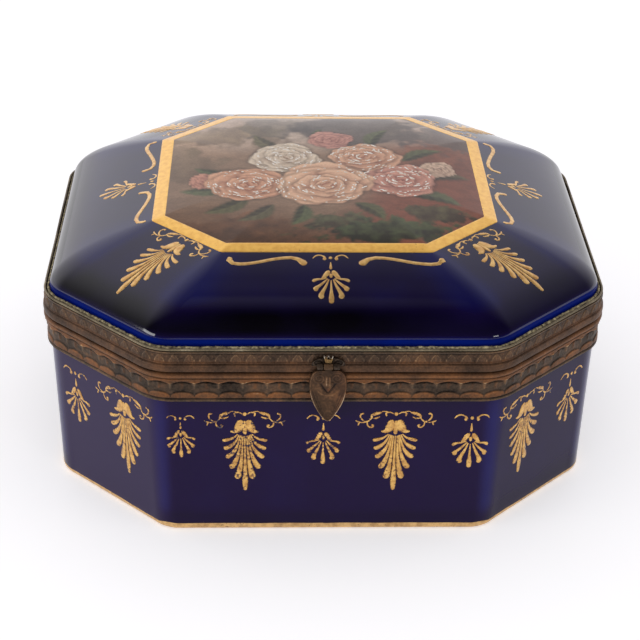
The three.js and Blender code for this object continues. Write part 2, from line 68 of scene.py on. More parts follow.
LOG = logging.getLogger("casket")
CAD_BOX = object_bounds()
MM = 0.001
TAU = 2 * np.pi
LATTICE = 61
HALVINGS = 26

# Directions that the eight walls face, anticlockwise from the front, in degrees.
CORNER_ANGLE = 42.7
WALL_FACING = np.radians(
    [-90, CORNER_ANGLE - 90, 0, 90 - CORNER_ANGLE, 90, 90 + CORNER_ANGLE, 180, 270 - CORNER_ANGLE]
)
NEXT_FACING = np.append(WALL_FACING[1:], WALL_FACING[0] + TAU)


class Body(Enum):
    """The rigid bodies of the casket."""

    BASE = "base"
    LID = "lid"
    HASP = "hasp"


class Slot(Enum):
    """The record's material slots."""

    PORCELAIN = "porcelain"
    MOUNT = "mount"
    BRIGHT = "bright_mount"
    PLASTER = "plaster"
    PIN = "pin"


class Wall(Enum):
    """Walls of the plan, as places in WALL_FACING."""

    FRONT = 0
    FRONT_RIGHT = 1
    RIGHT = 2
    BACK_RIGHT = 3
    BACK = 4
    BACK_LEFT = 5
    LEFT = 6
    FRONT_LEFT = 7


class BodyLook(IntEnum):
    """Finishes of the body's faces, in the order that its piece lists them."""

    GLAZE = 0
    BISQUE = 1
    WHITE = 2


class LidLook(IntEnum):
    """Finishes of the lid's faces, in the order that its piece lists them."""

    GLAZE = 0
    WHITE = 1
    PAINTING = 2
    SHOULDER = 3


# Plan of the casket.


def corner_centres(reach: Array, radius: Array) -> Array:
    """Centres of the corner arcs: where two neighbouring walls cross after both move in by the radius.

    Args:
        reach: distances of the eight walls from the centre, M x 8.
        radius: corner radius of each plan, M.

    Returns:
        M x 8 x 2 points, each corner lying between a wall and the next.
    """
    first = reach - radius[:, None]
    second = np.roll(first, -1, axis=1)
    cross = np.sin(NEXT_FACING - WALL_FACING)
    x = (first * np.sin(NEXT_FACING) - second * np.sin(WALL_FACING)) / cross
    y = (second * np.cos(WALL_FACING) - first * np.cos(NEXT_FACING)) / cross
    return np.stack([x, y], axis=-1)


def plan_rings(reach: Array, radius: Array, arc: int, wall: int) -> Array:
    """Rings of points round eight-sided plans: even steps of angle in the corners, even steps of length between.

    Args:
        reach: distances of the eight walls, M x 8.
        radius: corner radii, M.
        arc: steps in each corner.
        wall: steps along each wall.

    Returns:
        M x N x 2 points with the same N and the same facing in every ring.
    """
    turn = np.linspace(0, 1, arc + 1)
    angle = WALL_FACING[:, None] + (NEXT_FACING - WALL_FACING)[:, None] * turn
    spokes = np.stack([np.cos(angle), np.sin(angle)], axis=-1)
    arcs = corner_centres(reach, radius)[:, :, None, :] + radius[:, None, None, None] * spokes
    start = arcs[:, :, -1]
    end = np.roll(arcs[:, :, 0], -1, axis=1)
    share = np.linspace(0, 1, wall + 1)[1:-1, None]
    walls = start[:, :, None] * (1 - share) + end[:, :, None] * share
    return np.concatenate([arcs, walls], axis=2).reshape(len(reach), -1, 2)


@dataclass(frozen=True)
class Outline:
    """Eight-sided plan with rounded corners, given by the distances of its walls from the centre."""

    half_width: float
    half_depth: float
    slant_reach: float
    radius: float

    def reach(self) -> Array:
        """Distances of the eight walls, in the order of WALL_FACING."""
        return np.array([self.half_depth, self.slant_reach, self.half_width, self.slant_reach] * 2)

    def grow(self, by: float) -> "Outline":
        """The same plan with every wall moved out by a distance."""
        return Outline(self.half_width + by, self.half_depth + by, self.slant_reach + by, self.radius + by)

    def trace(self, length: Array) -> tuple[Array, Array]:
        """Walks round the outline from the middle of the front, anticlockwise: straight, arc, straight, arc.

        Args:
            length: distances walked, of any shape.

        Returns:
            The points and the outward directions there, with a last axis of 2.
        """
        radius = np.array([self.radius])
        centres = corner_centres(self.reach()[None], radius)[0]
        facing = np.stack([np.cos(WALL_FACING), np.sin(WALL_FACING)], axis=-1)
        arc_end = centres + self.radius * np.roll(facing, -1, axis=0)
        arc_start = centres + self.radius * facing
        straight = np.linalg.norm(arc_start - np.roll(arc_end, 1, axis=0), axis=1)
        bend = self.radius * (NEXT_FACING - WALL_FACING)
        marks = np.concatenate([[0], np.cumsum(np.stack([straight, bend], 1).ravel())])
        walked = np.mod(np.asarray(length, float) + straight[0] / 2, marks[-1])
        piece = np.clip(np.searchsorted(marks, walked, side="right") - 1, 0, 15)
        corner, into = piece // 2, walked - marks[piece]
        along = np.stack([-facing[:, 1], facing[:, 0]], axis=-1)
        wall_point = arc_start[corner] - (straight[corner] - into)[..., None] * along[corner]
        angle = WALL_FACING[corner] + into / self.radius
        spoke = np.stack([np.cos(angle), np.sin(angle)], axis=-1)
        on_arc = (piece % 2 == 1)[..., None]
        point = np.where(on_arc, centres[corner] + self.radius * spoke, wall_point)
        return point, np.where(on_arc, spoke, facing[corner])

    def length(self) -> float:
        """Distance once round the outline.

        Returns:
            The distance.
        """
        radius = np.array([self.radius])
        ring = plan_rings(self.reach()[None], radius, 1, 1)[0]
        chords = np.linalg.norm(np.roll(ring, -1, axis=0) - ring, axis=1)
        return float(chords[1::2].sum() + self.radius * TAU)


BODY_PLAN = Outline(107.8, 94.5, 112.92, 16.0)
MOUNT_PLAN = replace(BODY_PLAN.grow(2.2), radius=19.0)
LID_PLAN = BODY_PLAN.grow(-0.9)
PANEL_PLAN = Outline(67.4, 62.7, 73.2, 2.0)


# Meshes.


def make_piece(
    name: str, points: Array, faces: Sequence[Array], looks: Sequence["Finish"], body: Body, slot: Slot,
    stands_for: Sequence[str] = (), face_look: Array | None = None, values: dict[str, Any] | None = None,
    colour: Array | None = None,
) -> Piece:
    """Puts whole arrays of points and faces into a smooth mesh object that rides on a body.

    Args:
        name: name of the piece.
        points: N x 3 places in millimetres.
        faces: arrays of corner numbers, each M x k for faces of k corners.
        looks: finishes, in the order that face_look counts.
        body: body that the piece rides on.
        slot: material slot of the record; not used.
        stands_for: solids that the piece is shown in place of.
        face_look: number of the finish of each face.
        values: named numbers, one for each point or one for all.
        colour: N x 3 linear colours, one for each point, kept as "paint".

    Returns:
        The finished object.
    """
    mesh = bpy.data.meshes.new(name)
    sizes = np.concatenate([np.full(len(f), f.shape[1]) for f in faces]).astype(np.int32)
    corners = np.concatenate([f.ravel() for f in faces]).astype(np.int32)
    mesh.vertices.add(len(points))
    mesh.vertices.foreach_set("co", (np.asarray(points) * MM).astype(np.float32).ravel())
    mesh.loops.add(len(corners))
    mesh.loops.foreach_set("vertex_index", corners)
    mesh.polygons.add(len(sizes))
    mesh.polygons.foreach_set("loop_start", np.concatenate([[0], np.cumsum(sizes)[:-1]]).astype(np.int32))
    mesh.update(calc_edges=True)
    mesh.shade_smooth()
    for key, value in (values or {}).items():
        each = np.broadcast_to(np.ravel(value), len(points)).astype(np.float32)
        mesh.attributes.new(key, "FLOAT", "POINT").data.foreach_set("value", each)
    if colour is not None:
        rgba = np.concatenate([colour, np.ones((len(colour), 1))], axis=1).astype(np.float32)
        mesh.color_attributes.new("paint", "FLOAT_COLOR", "POINT").data.foreach_set("color", rgba.ravel())
    for look in looks:
        mesh.materials.append(look.material())
    if face_look is not None:
        mesh.polygons.foreach_set("material_index", face_look.astype(np.int32))
    mesh.validate()
    piece = bpy.data.objects.new(name, mesh)
    bpy.context.scene.collection.objects.link(piece)
    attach(piece, body.value)
    if stands_for:
        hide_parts(*stands_for)
    LOG.info("%s: %d faces", name, len(mesh.polygons))
    return piece


def grid_faces(rows: int, columns: int, wrap_rows: bool = False, wrap_columns: bool = True) -> Array:
    """Four-cornered faces between neighbouring rows and columns of a grid stored row by row.

    Args:
        rows: number of rows.
        columns: points in each row.
        wrap_rows: whether the last row joins the first.
        wrap_columns: whether each row closes on itself.

    Returns:
        Faces, whose outside is on the right of the way that the rows follow when the columns run anticlockwise.
    """
    row = np.arange(rows if wrap_rows else rows - 1)[:, None]
    column = np.arange(columns if wrap_columns else columns - 1)[None]
    row_up, column_on = (row + 1) % rows, (column + 1) % columns
    corners = [
        row * columns + column, row * columns + column_on, row_up * columns + column_on, row_up * columns + column,
    ]
    return np.stack([np.broadcast_to(c, (row.size, column.size)).ravel() for c in corners], axis=1)


def closed_rings(rings: Array, first: Array, last: Array) -> Skin:
    """Skins rings of points, and closes each end on a point with a fan.

    Args:
        rings: M x N x 3 points.
        first: the point that closes the first ring.
        last: the point that closes the last ring.

    Returns:
        Points and faces: the rings' faces row by row, then the first fan, then the last one.
    """
    count, columns = rings.shape[:2]
    points = np.concatenate([rings.reshape(-1, 3), first[None], last[None]])
    column = np.arange(columns)
    on = (column + 1) % columns
    pole = count * columns
    top = (count - 1) * columns
    low = np.stack([np.full(columns, pole), on, column], axis=1)
    high = np.stack([np.full(columns, pole + 1), top + column, top + on], axis=1)
    return points, [grid_faces(count, columns), low, high]


def swept(plan: Outline, columns: int, depth: Array, height: Array) -> Array:
    """Carries a section round a plan: a point lies inside the outline by its depth, along the outward direction.

    Args:
        plan: outline to follow.
        columns: steps round it.
        depth: depth of each point behind the outline, M or M x columns.
        height: heights, of the same shape as depth.

    Returns:
        M x columns x 3 points.
    """
    point, facing = plan.trace(np.arange(columns) * plan.length() / columns)
    depth = np.broadcast_to(depth.reshape(len(depth), -1), (len(depth), columns))
    height = np.broadcast_to(height.reshape(len(height), -1), (len(height), columns))
    flat = point[None] - facing[None] * depth[..., None]
    return np.concatenate([flat, height[..., None]], axis=-1)


def joined(x: Any, y: Any, z: Any) -> Array:
    """Points from separate coordinates, each spread to the common shape."""
    return np.stack(np.broadcast_arrays(x, y, z), axis=-1)


def sheets(front: Array, back: Array) -> Skin:
    """Joins a front and a back sheet into one closed plate.

    Args:
        front, back: the sheets, both R x C x 3 points.

    Returns:
        Points and faces.
    """
    loop = np.concatenate([front, back[:, ::-1]], axis=1)
    rows, ring = loop.shape[:2]
    end = np.arange(ring)[None]
    return loop.reshape(-1, 3), [grid_faces(rows, ring), end[:, ::-1], end + (rows - 1) * ring]


def hoop(rings: Array) -> Skin:
    """Points and faces of a closed section that is carried once round, its rings R x C x 3 points."""
    return rings.reshape(-1, 3), [grid_faces(*rings.shape[:2], wrap_rows=True)]


def smooth_step(value: Array, low: float, high: float) -> Array:
    """Rises from 0 at low to 1 at high with level ends: 3t^2 - 2t^3."""
    t = np.clip((value - low) / (high - low), 0, 1)
    return t * t * (3 - 2 * t)


def bump(value: Array, middle: float, width: float) -> Array:
    """A bell of height 1: e to the power of minus the square of the distance in widths."""
    return np.exp(-(((value - middle) / width) ** 2))


def lattice_noise(x: Array, y: Array, size: float, seed: int) -> Array:
    """Random values from 0 to 1 at the corners of a square lattice, blended smoothly in between.

    Args:
        x, y: places.
        size: side of a lattice cell.
        seed: which set of random values.

    Returns:
        Values of the shape of x.
    """
    values = np.random.default_rng(seed).random((LATTICE, LATTICE))
    u, v = np.asarray(x) / size, np.asarray(y) / size
    i, j = np.floor(u).astype(int), np.floor(v).astype(int)
    s, t = smooth_step(u - i, 0, 1), smooth_step(v - j, 0, 1)
    a, b = values[i % LATTICE, j % LATTICE], values[(i + 1) % LATTICE, j % LATTICE]
    c, d = values[i % LATTICE, (j + 1) % LATTICE], values[(i + 1) % LATTICE, (j + 1) % LATTICE]
    return (a * (1 - s) + b * s) * (1 - t) + (c * (1 - s) + d * s) * t


# Finishes.


def linear(colour: str) -> tuple[float, float, float, float]:
    """Turns an sRGB hex colour to linear red, green, blue and alpha.

    Args:
        colour: the colour, such as #f5f5f4.

    Returns:
        The four numbers.
    """
    value = np.array([int(colour[i : i + 2], 16) for i in (1, 3, 5)]) / 255
    turned = np.where(value <= 0.04045, value / 12.92, ((value + 0.055) / 1.055) ** 2.4)
    return (*(float(v) for v in turned), 1.0)


def fill(tree: Tree, node: Any, inputs: dict[Any, Any]) -> None:
    """Fills inputs of a node.

    Args:
        tree: the node's tree.
        node: the node.
        inputs: input name or number to a number or colour, or to an output socket that is linked there.
    """
    for key, value in inputs.items():
        if isinstance(value, bpy.types.NodeSocket):
            tree.links.new(value, node.inputs[key])
        else:
            node.inputs[key].default_value = value


def add_node(tree: Tree, kind: str, inputs: dict[Any, Any] | None = None, **settings: Any) -> Any:
    """Adds a node, sets it up, and fills its inputs.

    Args:
        tree: node tree to add to.
        kind: node type, without the ShaderNode that they all start with.
        inputs: what fill takes.
        **settings: properties of the node.

    Returns:
        The new node.
    """
    node = tree.nodes.new("ShaderNode" + kind)
    for key, value in settings.items():
        setattr(node, key, value)
    fill(tree, node, inputs or {})
    return node


def grains(place: Any, size: float, detail: float) -> dict[str, Any]:
    """Inputs of a noise whose grains are so many millimetres wide."""
    return {"Vector": place, "Scale": 1 / (size * MM), "Detail": detail}


def spans(value: Any, start: float, end: float, low: float = 0.0, high: float = 1.0) -> dict[str, Any]:
    """Inputs of a map from the span between start and end to that between low and high."""
    return {"Value": value, "From Min": start, "From Max": end, "To Min": low, "To Max": high}


def set_ramp(node: Any, stops: Sequence[tuple[float, str]]) -> Any:
    """Gives a colour ramp its stops.

    Args:
        node: the ramp.
        stops: places and hex colours.

    Returns:
        The ramp's colour socket.
    """
    ramp = node.color_ramp
    while len(ramp.elements) > len(stops):
        ramp.elements.remove(ramp.elements[-1])
    while len(ramp.elements) < len(stops):
        ramp.elements.new(1.0)
    for element, (place, colour) in zip(ramp.elements, stops):
        element.position = place
        element.color = linear(colour)
    return node.outputs["Color"]


@dataclass(frozen=True)
class Finish:
    """A finish that makes its material once and then shares it."""

    name: str

    def material(self) -> bpy.types.Material:
        """The material of this name, made when it is first asked for.

        Returns:
            The material.
        """
        known = bpy.data.materials.get(self.name)
        if known:
            return known
        made = bpy.data.materials.new(self.name)
        made.use_nodes = True
        tree = made.node_tree
        tree.nodes.clear()
        shader = add_node(tree, "BsdfPrincipled")
        add_node(tree, "OutputMaterial", {"Surface": shader.outputs[0]})
        place = add_node(tree, "TexCoord").outputs["Object"]
        self.dress(tree, shader, place)
        return made

    def dress(self, tree: Tree, shader: Any, place: Any) -> None:
        """Fills in the shader.

        Args:
            tree: the material's node tree.
            shader: its Principled shader.
            place: Object coordinates.
        """


@dataclass(frozen=True)
class CobaltGlaze(Finish):
    """Cobalt glaze over porcelain: nearly black where it pooled and in painted shade, deep blue on walls, bright blue
    where it ran thin and in painted highlights.
    """

    # Darkest tone: where the glaze pooled, and the painted shade on the lid's dome above the shoulder.
    pooled_and_shaded: str = "#040208"
    deep: str = "#120a30"
    thin: str = "#001a7e"
    # Grey laid over the glaze as a painted reflection of the room.
    reflection_grey: str = "#33284a"
    level: float = 0.5
    roughness: float = 0.07
    ripple_mm: float = 9.0

    def dress(self, tree: Tree, shader: Any, place: Any) -> None:
        """Runs a ramp from the darkest tone to thin by the "thin" value, clouds it, and lays a painted grey reflection
        over it by its own value.

        Args:
            tree, shader, place: as in Finish.dress.
        """
        thin = add_node(tree, "Attribute", attribute_name="thin").outputs["Fac"]
        painted_reflection = add_node(tree, "Attribute", attribute_name="painted_reflection").outputs["Fac"]
        cloud = add_node(tree, "TexNoise", grains(place, 22, 2.0)).outputs["Fac"]
        spread = add_node(tree, "MapRange", spans(cloud, 0.35, 0.7, -0.04, 0.05)).outputs["Result"]
        share = add_node(tree, "Math", {0: thin, 1: spread}, operation="ADD", use_clamp=True)
        depth = add_node(tree, "ValToRGB", {"Fac": share.outputs[0]})
        blue = set_ramp(depth, [(0.0, self.pooled_and_shaded), (0.35, self.deep), (1.0, self.thin)])
        mix = add_node(tree, "Mix", {"Factor": painted_reflection, "A": blue, "B": linear(self.reflection_grey)}, data_type="RGBA")
        ripple = add_node(tree, "TexNoise", grains(place, self.ripple_mm, 1.0)).outputs["Fac"]
        dent = add_node(tree, "Bump", {"Height": ripple, "Strength": 0.5, "Distance": 0.00003})
        looks = {"Base Color": mix.outputs["Result"], "Normal": dent.outputs["Normal"], "Roughness": self.roughness}
        fill(tree, shader, {**looks, "IOR": 1.5, "Specular IOR Level": self.level})


@dataclass(frozen=True)
class Mottled(Finish):
    """A surface of two or three tones mixed by one noise: plain glaze, bisque, enamel, plaster or old steel."""

    tones: tuple[tuple[float, str], ...]
    grain_mm: float
    detail: float
    roughness: float
    metallic: float = 0.0
    dent_mm: float = 0.0

    def dress(self, tree: Tree, shader: Any, place: Any) -> None:
        """Runs a ramp of the tones by the noise, which also roughens the surface where a depth is given.

        Args:
            tree, shader, place: as in Finish.dress.
        """
        noise = add_node(tree, "TexNoise", grains(place, self.grain_mm, self.detail)).outputs["Fac"]
        tone = set_ramp(add_node(tree, "ValToRGB", {"Fac": noise}), self.tones)
        fill(tree, shader, {"Base Color": tone, "Roughness": self.roughness, "Metallic": self.metallic})
        if self.dent_mm:
            dent = add_node(tree, "Bump", {"Height": noise, "Strength": 0.8, "Distance": self.dent_mm * MM})
            fill(tree, shader, {"Normal": dent.outputs["Normal"]})


@dataclass(frozen=True)
class Gilding(Finish):
    """Brushed-on gilding, fired over the glaze: satin gold, uneven in tone, rubbed through to the glaze in patches."""

    light: str = "#f0c478"
    dark: str = "#cf9a52"
    thinned: str = "#8a5a30"
    worn: str = "#1c1430"
    wear: float = 0.24
    patchy: float = 0.05
    metallic: float = 0.55

    def dress(self, tree: Tree, shader: Any, place: Any) -> None:
        """Mixes light and dark gold by brush-width noise.

        A finer noise, wide patches and "edge" together say how much gold is left: whole, thinned to brown, or none.

        Args:
            tree, shader, place: as in Finish.dress.
        """
        brush = add_node(tree, "TexNoise", grains(place, 2.2, 3.0)).outputs["Fac"]
        gold = set_ramp(add_node(tree, "ValToRGB", {"Fac": brush}), [(0.32, self.dark), (0.62, self.light)])
        rub = add_node(tree, "TexNoise", grains(place, 0.9, 4.0)).outputs["Fac"]
        edge = add_node(tree, "Attribute", attribute_name="edge").outputs["Fac"]
        kept = add_node(tree, "Math", {0: edge, 1: -0.11, 2: rub}, operation="MULTIPLY_ADD").outputs[0]
        wide = add_node(tree, "TexNoise", grains(place, 13, 2.0)).outputs["Fac"]
        patch = add_node(tree, "MapRange", spans(wide, 0.3, 0.7, self.patchy, -self.patchy)).outputs["Result"]
        left = add_node(tree, "Math", {0: kept, 1: patch}, operation="ADD").outputs[0]
        whole = add_node(tree, "MapRange", spans(left, self.wear, self.wear + 0.12)).outputs["Result"]
        some = add_node(tree, "MapRange", spans(left, self.wear - 0.05, self.wear + 0.01)).outputs["Result"]
        brown = add_node(tree, "Mix", {"Factor": whole, "A": linear(self.thinned), "B": gold}, data_type="RGBA")
        layers = {"Factor": some, "A": linear(self.worn), "B": brown.outputs["Result"]}
        mix = add_node(tree, "Mix", layers, data_type="RGBA")
        metal = add_node(tree, "Math", {0: some, 1: self.metallic}, operation="MULTIPLY")
        dent = add_node(tree, "Bump", {"Height": brush, "Strength": 0.4, "Distance": 0.00004})
        looks = {"Base Color": mix.outputs["Result"], "Metallic": metal.outputs[0], "Normal": dent.outputs["Normal"]}
        fill(tree, shader, {**looks, "Roughness": 0.36, "Coat Weight": 0.45, "Coat Roughness": 0.2})


@dataclass(frozen=True)
class PaintedGlaze(Finish):
    """Enamel painting fired under a clear glaze: its colours are kept with the mesh as "paint"."""

    def dress(self, tree: Tree, shader: Any, place: Any) -> None:
        """Lays a brush grain of about a millimetre over the painted colours.

        Args:
            tree, shader, place: as in Finish.dress.
        """
        paint = add_node(tree, "Attribute", attribute_name="paint").outputs["Color"]
        grain = add_node(tree, "TexNoise", grains(place, 0.9, 3.0)).outputs["Fac"]
        tone = add_node(tree, "MapRange", spans(grain, 0.25, 0.75, 0.86, 1.12)).outputs["Result"]
        shade = add_node(tree, "HueSaturation", {"Color": paint, "Value": tone}).outputs["Color"]
        fill(tree, shader, {"Base Color": shade, "Roughness": 0.18, "Specular IOR Level": 0.2})


@dataclass(frozen=True)
class PatinatedBrass(Finish):
    """Stamped brass with old brown patina: dark in the hollows, paler and warmer where the high places are rubbed."""

    hollow: str = "#1c130c"
    ground: str = "#4f4134"
    high: str = "#7c644a"
    rubbed: str = "#bd9f78"
    warm_ground: str = "#60402a"
    warm_high: str = "#8c5b35"
    metallic: float = 0.35
    roughness: float = 0.46

    def dress(self, tree: Tree, shader: Any, place: Any) -> None:
        """Runs two ramps of browns, olive and reddish, by "relief", and mixes them by "warmth" and by patches.

        Args:
            tree, shader, place: as in Finish.dress.
        """
        relief = add_node(tree, "Attribute", attribute_name="relief").outputs["Fac"]
        warmth = add_node(tree, "Attribute", attribute_name="warmth").outputs["Fac"]
        patches = add_node(tree, "TexNoise", grains(place, 9, 3.0)).outputs["Fac"]
        grain = add_node(tree, "TexNoise", grains(place, 0.8, 3.0)).outputs["Fac"]
        shift = add_node(tree, "MapRange", spans(patches, 0.3, 0.7, -0.14, 0.14)).outputs["Result"]
        fine = add_node(tree, "MapRange", spans(grain, 0.3, 0.7, -0.1, 0.1)).outputs["Result"]
        both = add_node(tree, "Math", {0: shift, 1: fine}, operation="ADD").outputs[0]
        level = add_node(tree, "Math", {0: relief, 1: both}, operation="ADD", use_clamp=True).outputs[0]
        tones = [
            set_ramp(
                add_node(tree, "ValToRGB", {"Fac": level}),
                [(0.0, self.hollow), (0.38, ground), (0.72, high), (1.0, self.rubbed)],
            )
            for ground, high in ((self.ground, self.high), (self.warm_ground, self.warm_high))
        ]
        share = add_node(tree, "Math", {0: warmth, 1: shift}, operation="ADD", use_clamp=True).outputs[0]
        mix = add_node(tree, "Mix", {"Factor": share, "A": tones[0], "B": tones[1]}, data_type="RGBA")
        dent = add_node(tree, "Bump", {"Height": grain, "Strength": 0.5, "Distance": 0.00008})
        looks = {"Base Color": mix.outputs["Result"], "Normal": dent.outputs["Normal"], "Metallic": self.metallic}
        fill(tree, shader, {**looks, "Roughness": self.roughness, "Specular IOR Level": 0.2})


LID_GLAZE = CobaltGlaze("cobalt_glaze_lid", thin="#001466")
RIM_GLAZE = CobaltGlaze("cobalt_glaze_lid_shoulder", deep="#0a0a33", thin="#00176a", level=0.02)
BODY_GLAZE = CobaltGlaze("cobalt_glaze_body", pooled_and_shaded="#10041f", deep="#190539", thin="#211f64", level=0.15)
WHITE_GLAZE = Mottled("clear_glaze_on_porcelain", ((0.3, "#dedacd"), (0.7, "#e6e2d6")), 24, 2.0, 0.12)
BISQUE = Mottled("bisque_porcelain", ((0.4, "#8d8473"), (0.6, "#b9b09c")), 3, 6.0, 0.8)
GILDING = Gilding("fired_gilding", wear=0.2)
WORN_GILDING = Gilding("worn_gilding", light="#edbb64", dark="#c18a3f", wear=0.31, patchy=0.08)
BORDER_GILDING = Gilding("fired_gilding_border", light="#fdc759", dark="#ecb248", wear=0.20)
FOOT_GILDING = Gilding("fired_gilding_foot", light="#e6ba78", dark="#ba8e56", wear=0.27, patchy=0.07)
PAINTED = PaintedGlaze("painted_enamel")
ENAMEL = Mottled("raised_white_enamel", ((0.4, "#d9c9b4"), (0.6, "#f1ebdf")), 1.5, 2.0, 0.25)
BRASS = PatinatedBrass("patinated_brass")
HASP_BRASS = PatinatedBrass(
    "patinated_cast_brass", hollow="#170f0a", ground="#493624", high="#775b41", rubbed="#c9b598", warm_ground="#573a2a"
)
# Its near-white top tone, reached only at the crown's points, is partly a painted highlight.
BRIGHT_BRASS = PatinatedBrass(
    "rubbed_brass", ground="#5b4930", high="#9a7a4c", rubbed="#f2e8d6", metallic=0.5, roughness=0.38
)
WIRE_BRASS = PatinatedBrass(
    "weathered_brass", ground="#5c5140", high="#8b7f66", rubbed="#cdc2a4", warm_ground="#66503a", warm_high="#917756"
)
PLASTER_TONES = ((0.34, "#453b2a"), (0.5, "#7f7458"), (0.68, "#c2b588"))
PLASTER = Mottled("bedding_plaster", PLASTER_TONES, 1.3, 6.0, 0.85, dent_mm=0.2)
STEEL = Mottled("drawn_steel", ((0.35, "#55473a"), (0.6, "#8c857a")), 2, 4.0, 0.4, metallic=0.9)


# Surfaces that carry ornament.


@dataclass(frozen=True)
class BodySurface:
    """Outside of the porcelain body: the plan leans in towards the foot, the slanted walls more than the others."""

    plan: Outline = BODY_PLAN
    height: float = 70.4
    lean: float = 1.1
    slant_lean: float = 2.4

    def inset(self, facing: Array, z: Array) -> Array:
        """How far in a wall lies at a height.

        The lean of a straight wall turns evenly into that of a slanted wall as the facing turns, and both grow
        evenly from nothing at the top to their full size at the foot.

        Args:
            facing: outward directions, with a last axis of 2.
            z: heights.

        Returns:
            Distances inwards.
        """
        turn = np.degrees(np.arctan2(np.abs(facing[..., 1]), np.abs(facing[..., 0])))
        slant = 90 - CORNER_ANGLE
        share = np.where(turn <= slant, turn / slant, (90 - turn) / CORNER_ANGLE)
        return (1 - z / self.height) * (self.lean + (self.slant_lean - self.lean) * share)

    def place(self, along: Array, z: Array, lift: Array) -> Array:
        """Points of the wall at distances round it and heights, lifted off it by small amounts.

        Args:
            along, z: distances round the wall, and heights.
            lift: distances off the wall.

        Returns:
            Points with a last axis of 3.
        """
        point, facing = self.plan.trace(along)
        out = lift - self.inset(facing, z)
        return np.concatenate([point + facing * out[..., None], z[..., None]], axis=-1)


@dataclass(frozen=True)
class LidSurface:
    """Outside of the lid, by one number q: 1 at the shoulder, 0 at the panel's edge, and below 0 inside the panel."""

    rim: Outline = LID_PLAN
    panel: Outline = PANEL_PLAN
    shoulder: float = 85.1
    rise: float = 22.0
    power: float = 0.47
    crown: float = 3.4
    crown_power: float = 5.0
    span: float = 1.87
    soften: float = 0.35

    def plan_of(self, q: Array) -> tuple[Array, Array]:
        """Wall distances and corner radius at q: a mix of panel and rim outside the panel, the scaled panel inside.

        Args:
            q: places from shoulder to centre, N.

        Returns:
            N x 8 wall distances, and N radii.
        """
        share = np.clip(q, 0, 1)[:, None]
        scale = 1 + np.minimum(q, 0)[:, None] / self.span
        reach = self.panel.reach() * (1 - share) + self.rim.reach() * share
        radius = self.panel.radius + (self.rim.radius - self.panel.radius) * share**0.6
        return reach * scale, (radius * scale)[:, 0]

    def height(self, q: Array) -> Array:
        """Height at q.

        The dome rises from the shoulder by a power of 1 - q, carried on straight inside the panel. The crown swells
        the panel like a cushion: its rise is 1 less the fifth power of the share of the way out from the centre, and
        it too is carried on straight, outside the panel. A soft minimum joins them: -k log(e^(-a/k) + e^(-b/k)).

        Args:
            q: places from shoulder to centre.

        Returns:
            Heights in millimetres.
        """
        outside = np.clip(1 - q, 0, 1) ** self.power
        dome = self.shoulder + self.rise * np.where(q > 0, outside, 1 - self.power * q)
        share = np.clip(1 + q / self.span, 0, 1)
        swell = 1 - share**self.crown_power - self.crown_power / self.span * np.maximum(q, 0)
        crown = self.shoulder + self.rise + self.crown * swell
        k = self.soften
        lower = np.minimum(dome, crown)
        return lower - k * np.log(np.exp((lower - dome) / k) + np.exp((lower - crown) / k))

    def parameter(self, points: Array) -> Array:
        """Finds q for plan points by halving: a point is outside the outline of q while q is too small.

        Args:
            points: N x 2 plan points.

        Returns:
            q for each.
        """
        facing = np.stack([np.cos(WALL_FACING), np.sin(WALL_FACING)], axis=-1)
        following = np.roll(facing, -1, axis=0)
        low, high = np.full(len(points), -self.span + 1e-6), np.full(len(points), 1.0)
        for _ in range(HALVINGS):
            middle = (low + high) / 2
            reach, radius = self.plan_of(middle)
            centres = corner_centres(reach, radius)
            away = points[:, None] - centres
            after = facing[:, 0] * away[..., 1] - facing[:, 1] * away[..., 0]
            before = away[..., 0] * following[:, 1] - away[..., 1] * following[:, 0]
            in_corner = (after >= 0) & (before >= 0)
            flat = (points @ facing.T - reach).max(axis=1)
            corner = np.where(in_corner, np.linalg.norm(away, axis=-1) - radius[:, None], -np.inf).max(axis=1)
            outside = np.where(in_corner.any(axis=1), corner, flat) > 0
            low, high = np.where(outside, middle, low), np.where(outside, high, middle)
        return (low + high) / 2

    def lifted(self, flat: Array, lift: Array) -> Array:
        """Points of the lid over plan points, moved off it along its upward direction.

        Args:
            flat: plan points, with a last axis of 2.
            lift: distances off the surface.

        Returns:
            Points with a last axis of 3.
        """
        shape = flat.shape[:-1]
        points = flat.reshape(-1, 2)
        step = 0.05
        z, z_x, z_y = (
            self.height(self.parameter(points + np.array(shift))) for shift in ((0, 0), (step, 0), (0, step))
        )
        upward = np.stack([(z - z_x) / step, (z - z_y) / step, np.ones_like(z)], axis=-1)
        upward /= np.linalg.norm(upward, axis=-1, keepdims=True)
        lifted = np.concatenate([points, z[:, None]], axis=-1) + upward * np.asarray(lift, float).reshape(-1, 1)
        return lifted.reshape(*shape, 3)


@dataclass(frozen=True)
class LidPatch:
    """Part of the lid beside the panel's border, where an ornament is laid out along the border and down the slope."""

    surface: LidSurface
    wall: Wall
    start: float = 0.0
    tilt: float = 0.0

    def place(self, along: Array, down: Array, lift: Array) -> Array:
        """Points of the lid.

        Args:
            along: distances along the panel's edge from its middle.
            down: distances down the slope from the edge.
            lift: distances off the surface.

        Returns:
            Points with a last axis of 3.
        """
        facing = WALL_FACING[self.wall.value]
        out = np.array([np.cos(facing), np.sin(facing)])
        on = np.array([-out[1], out[0]])
        reach = self.surface.panel.reach()[self.wall.value]
        width = self.surface.rim.reach()[self.wall.value] - reach
        q = np.linspace(-0.3, 0.999, 400)
        run = q * width
        slope = np.hypot(np.gradient(run), np.gradient(self.surface.height(q)))
        walked = np.cumsum(slope)
        walked -= np.interp(0, q, walked)
        offset = np.interp(down, walked, run)
        side = self.start + along * np.cos(self.tilt) + offset * np.sin(self.tilt)
        away = offset * np.cos(self.tilt)
        flat = out * (reach + away)[..., None] + on * side[..., None]
        return self.surface.lifted(flat, lift)


# Gilt ornament.


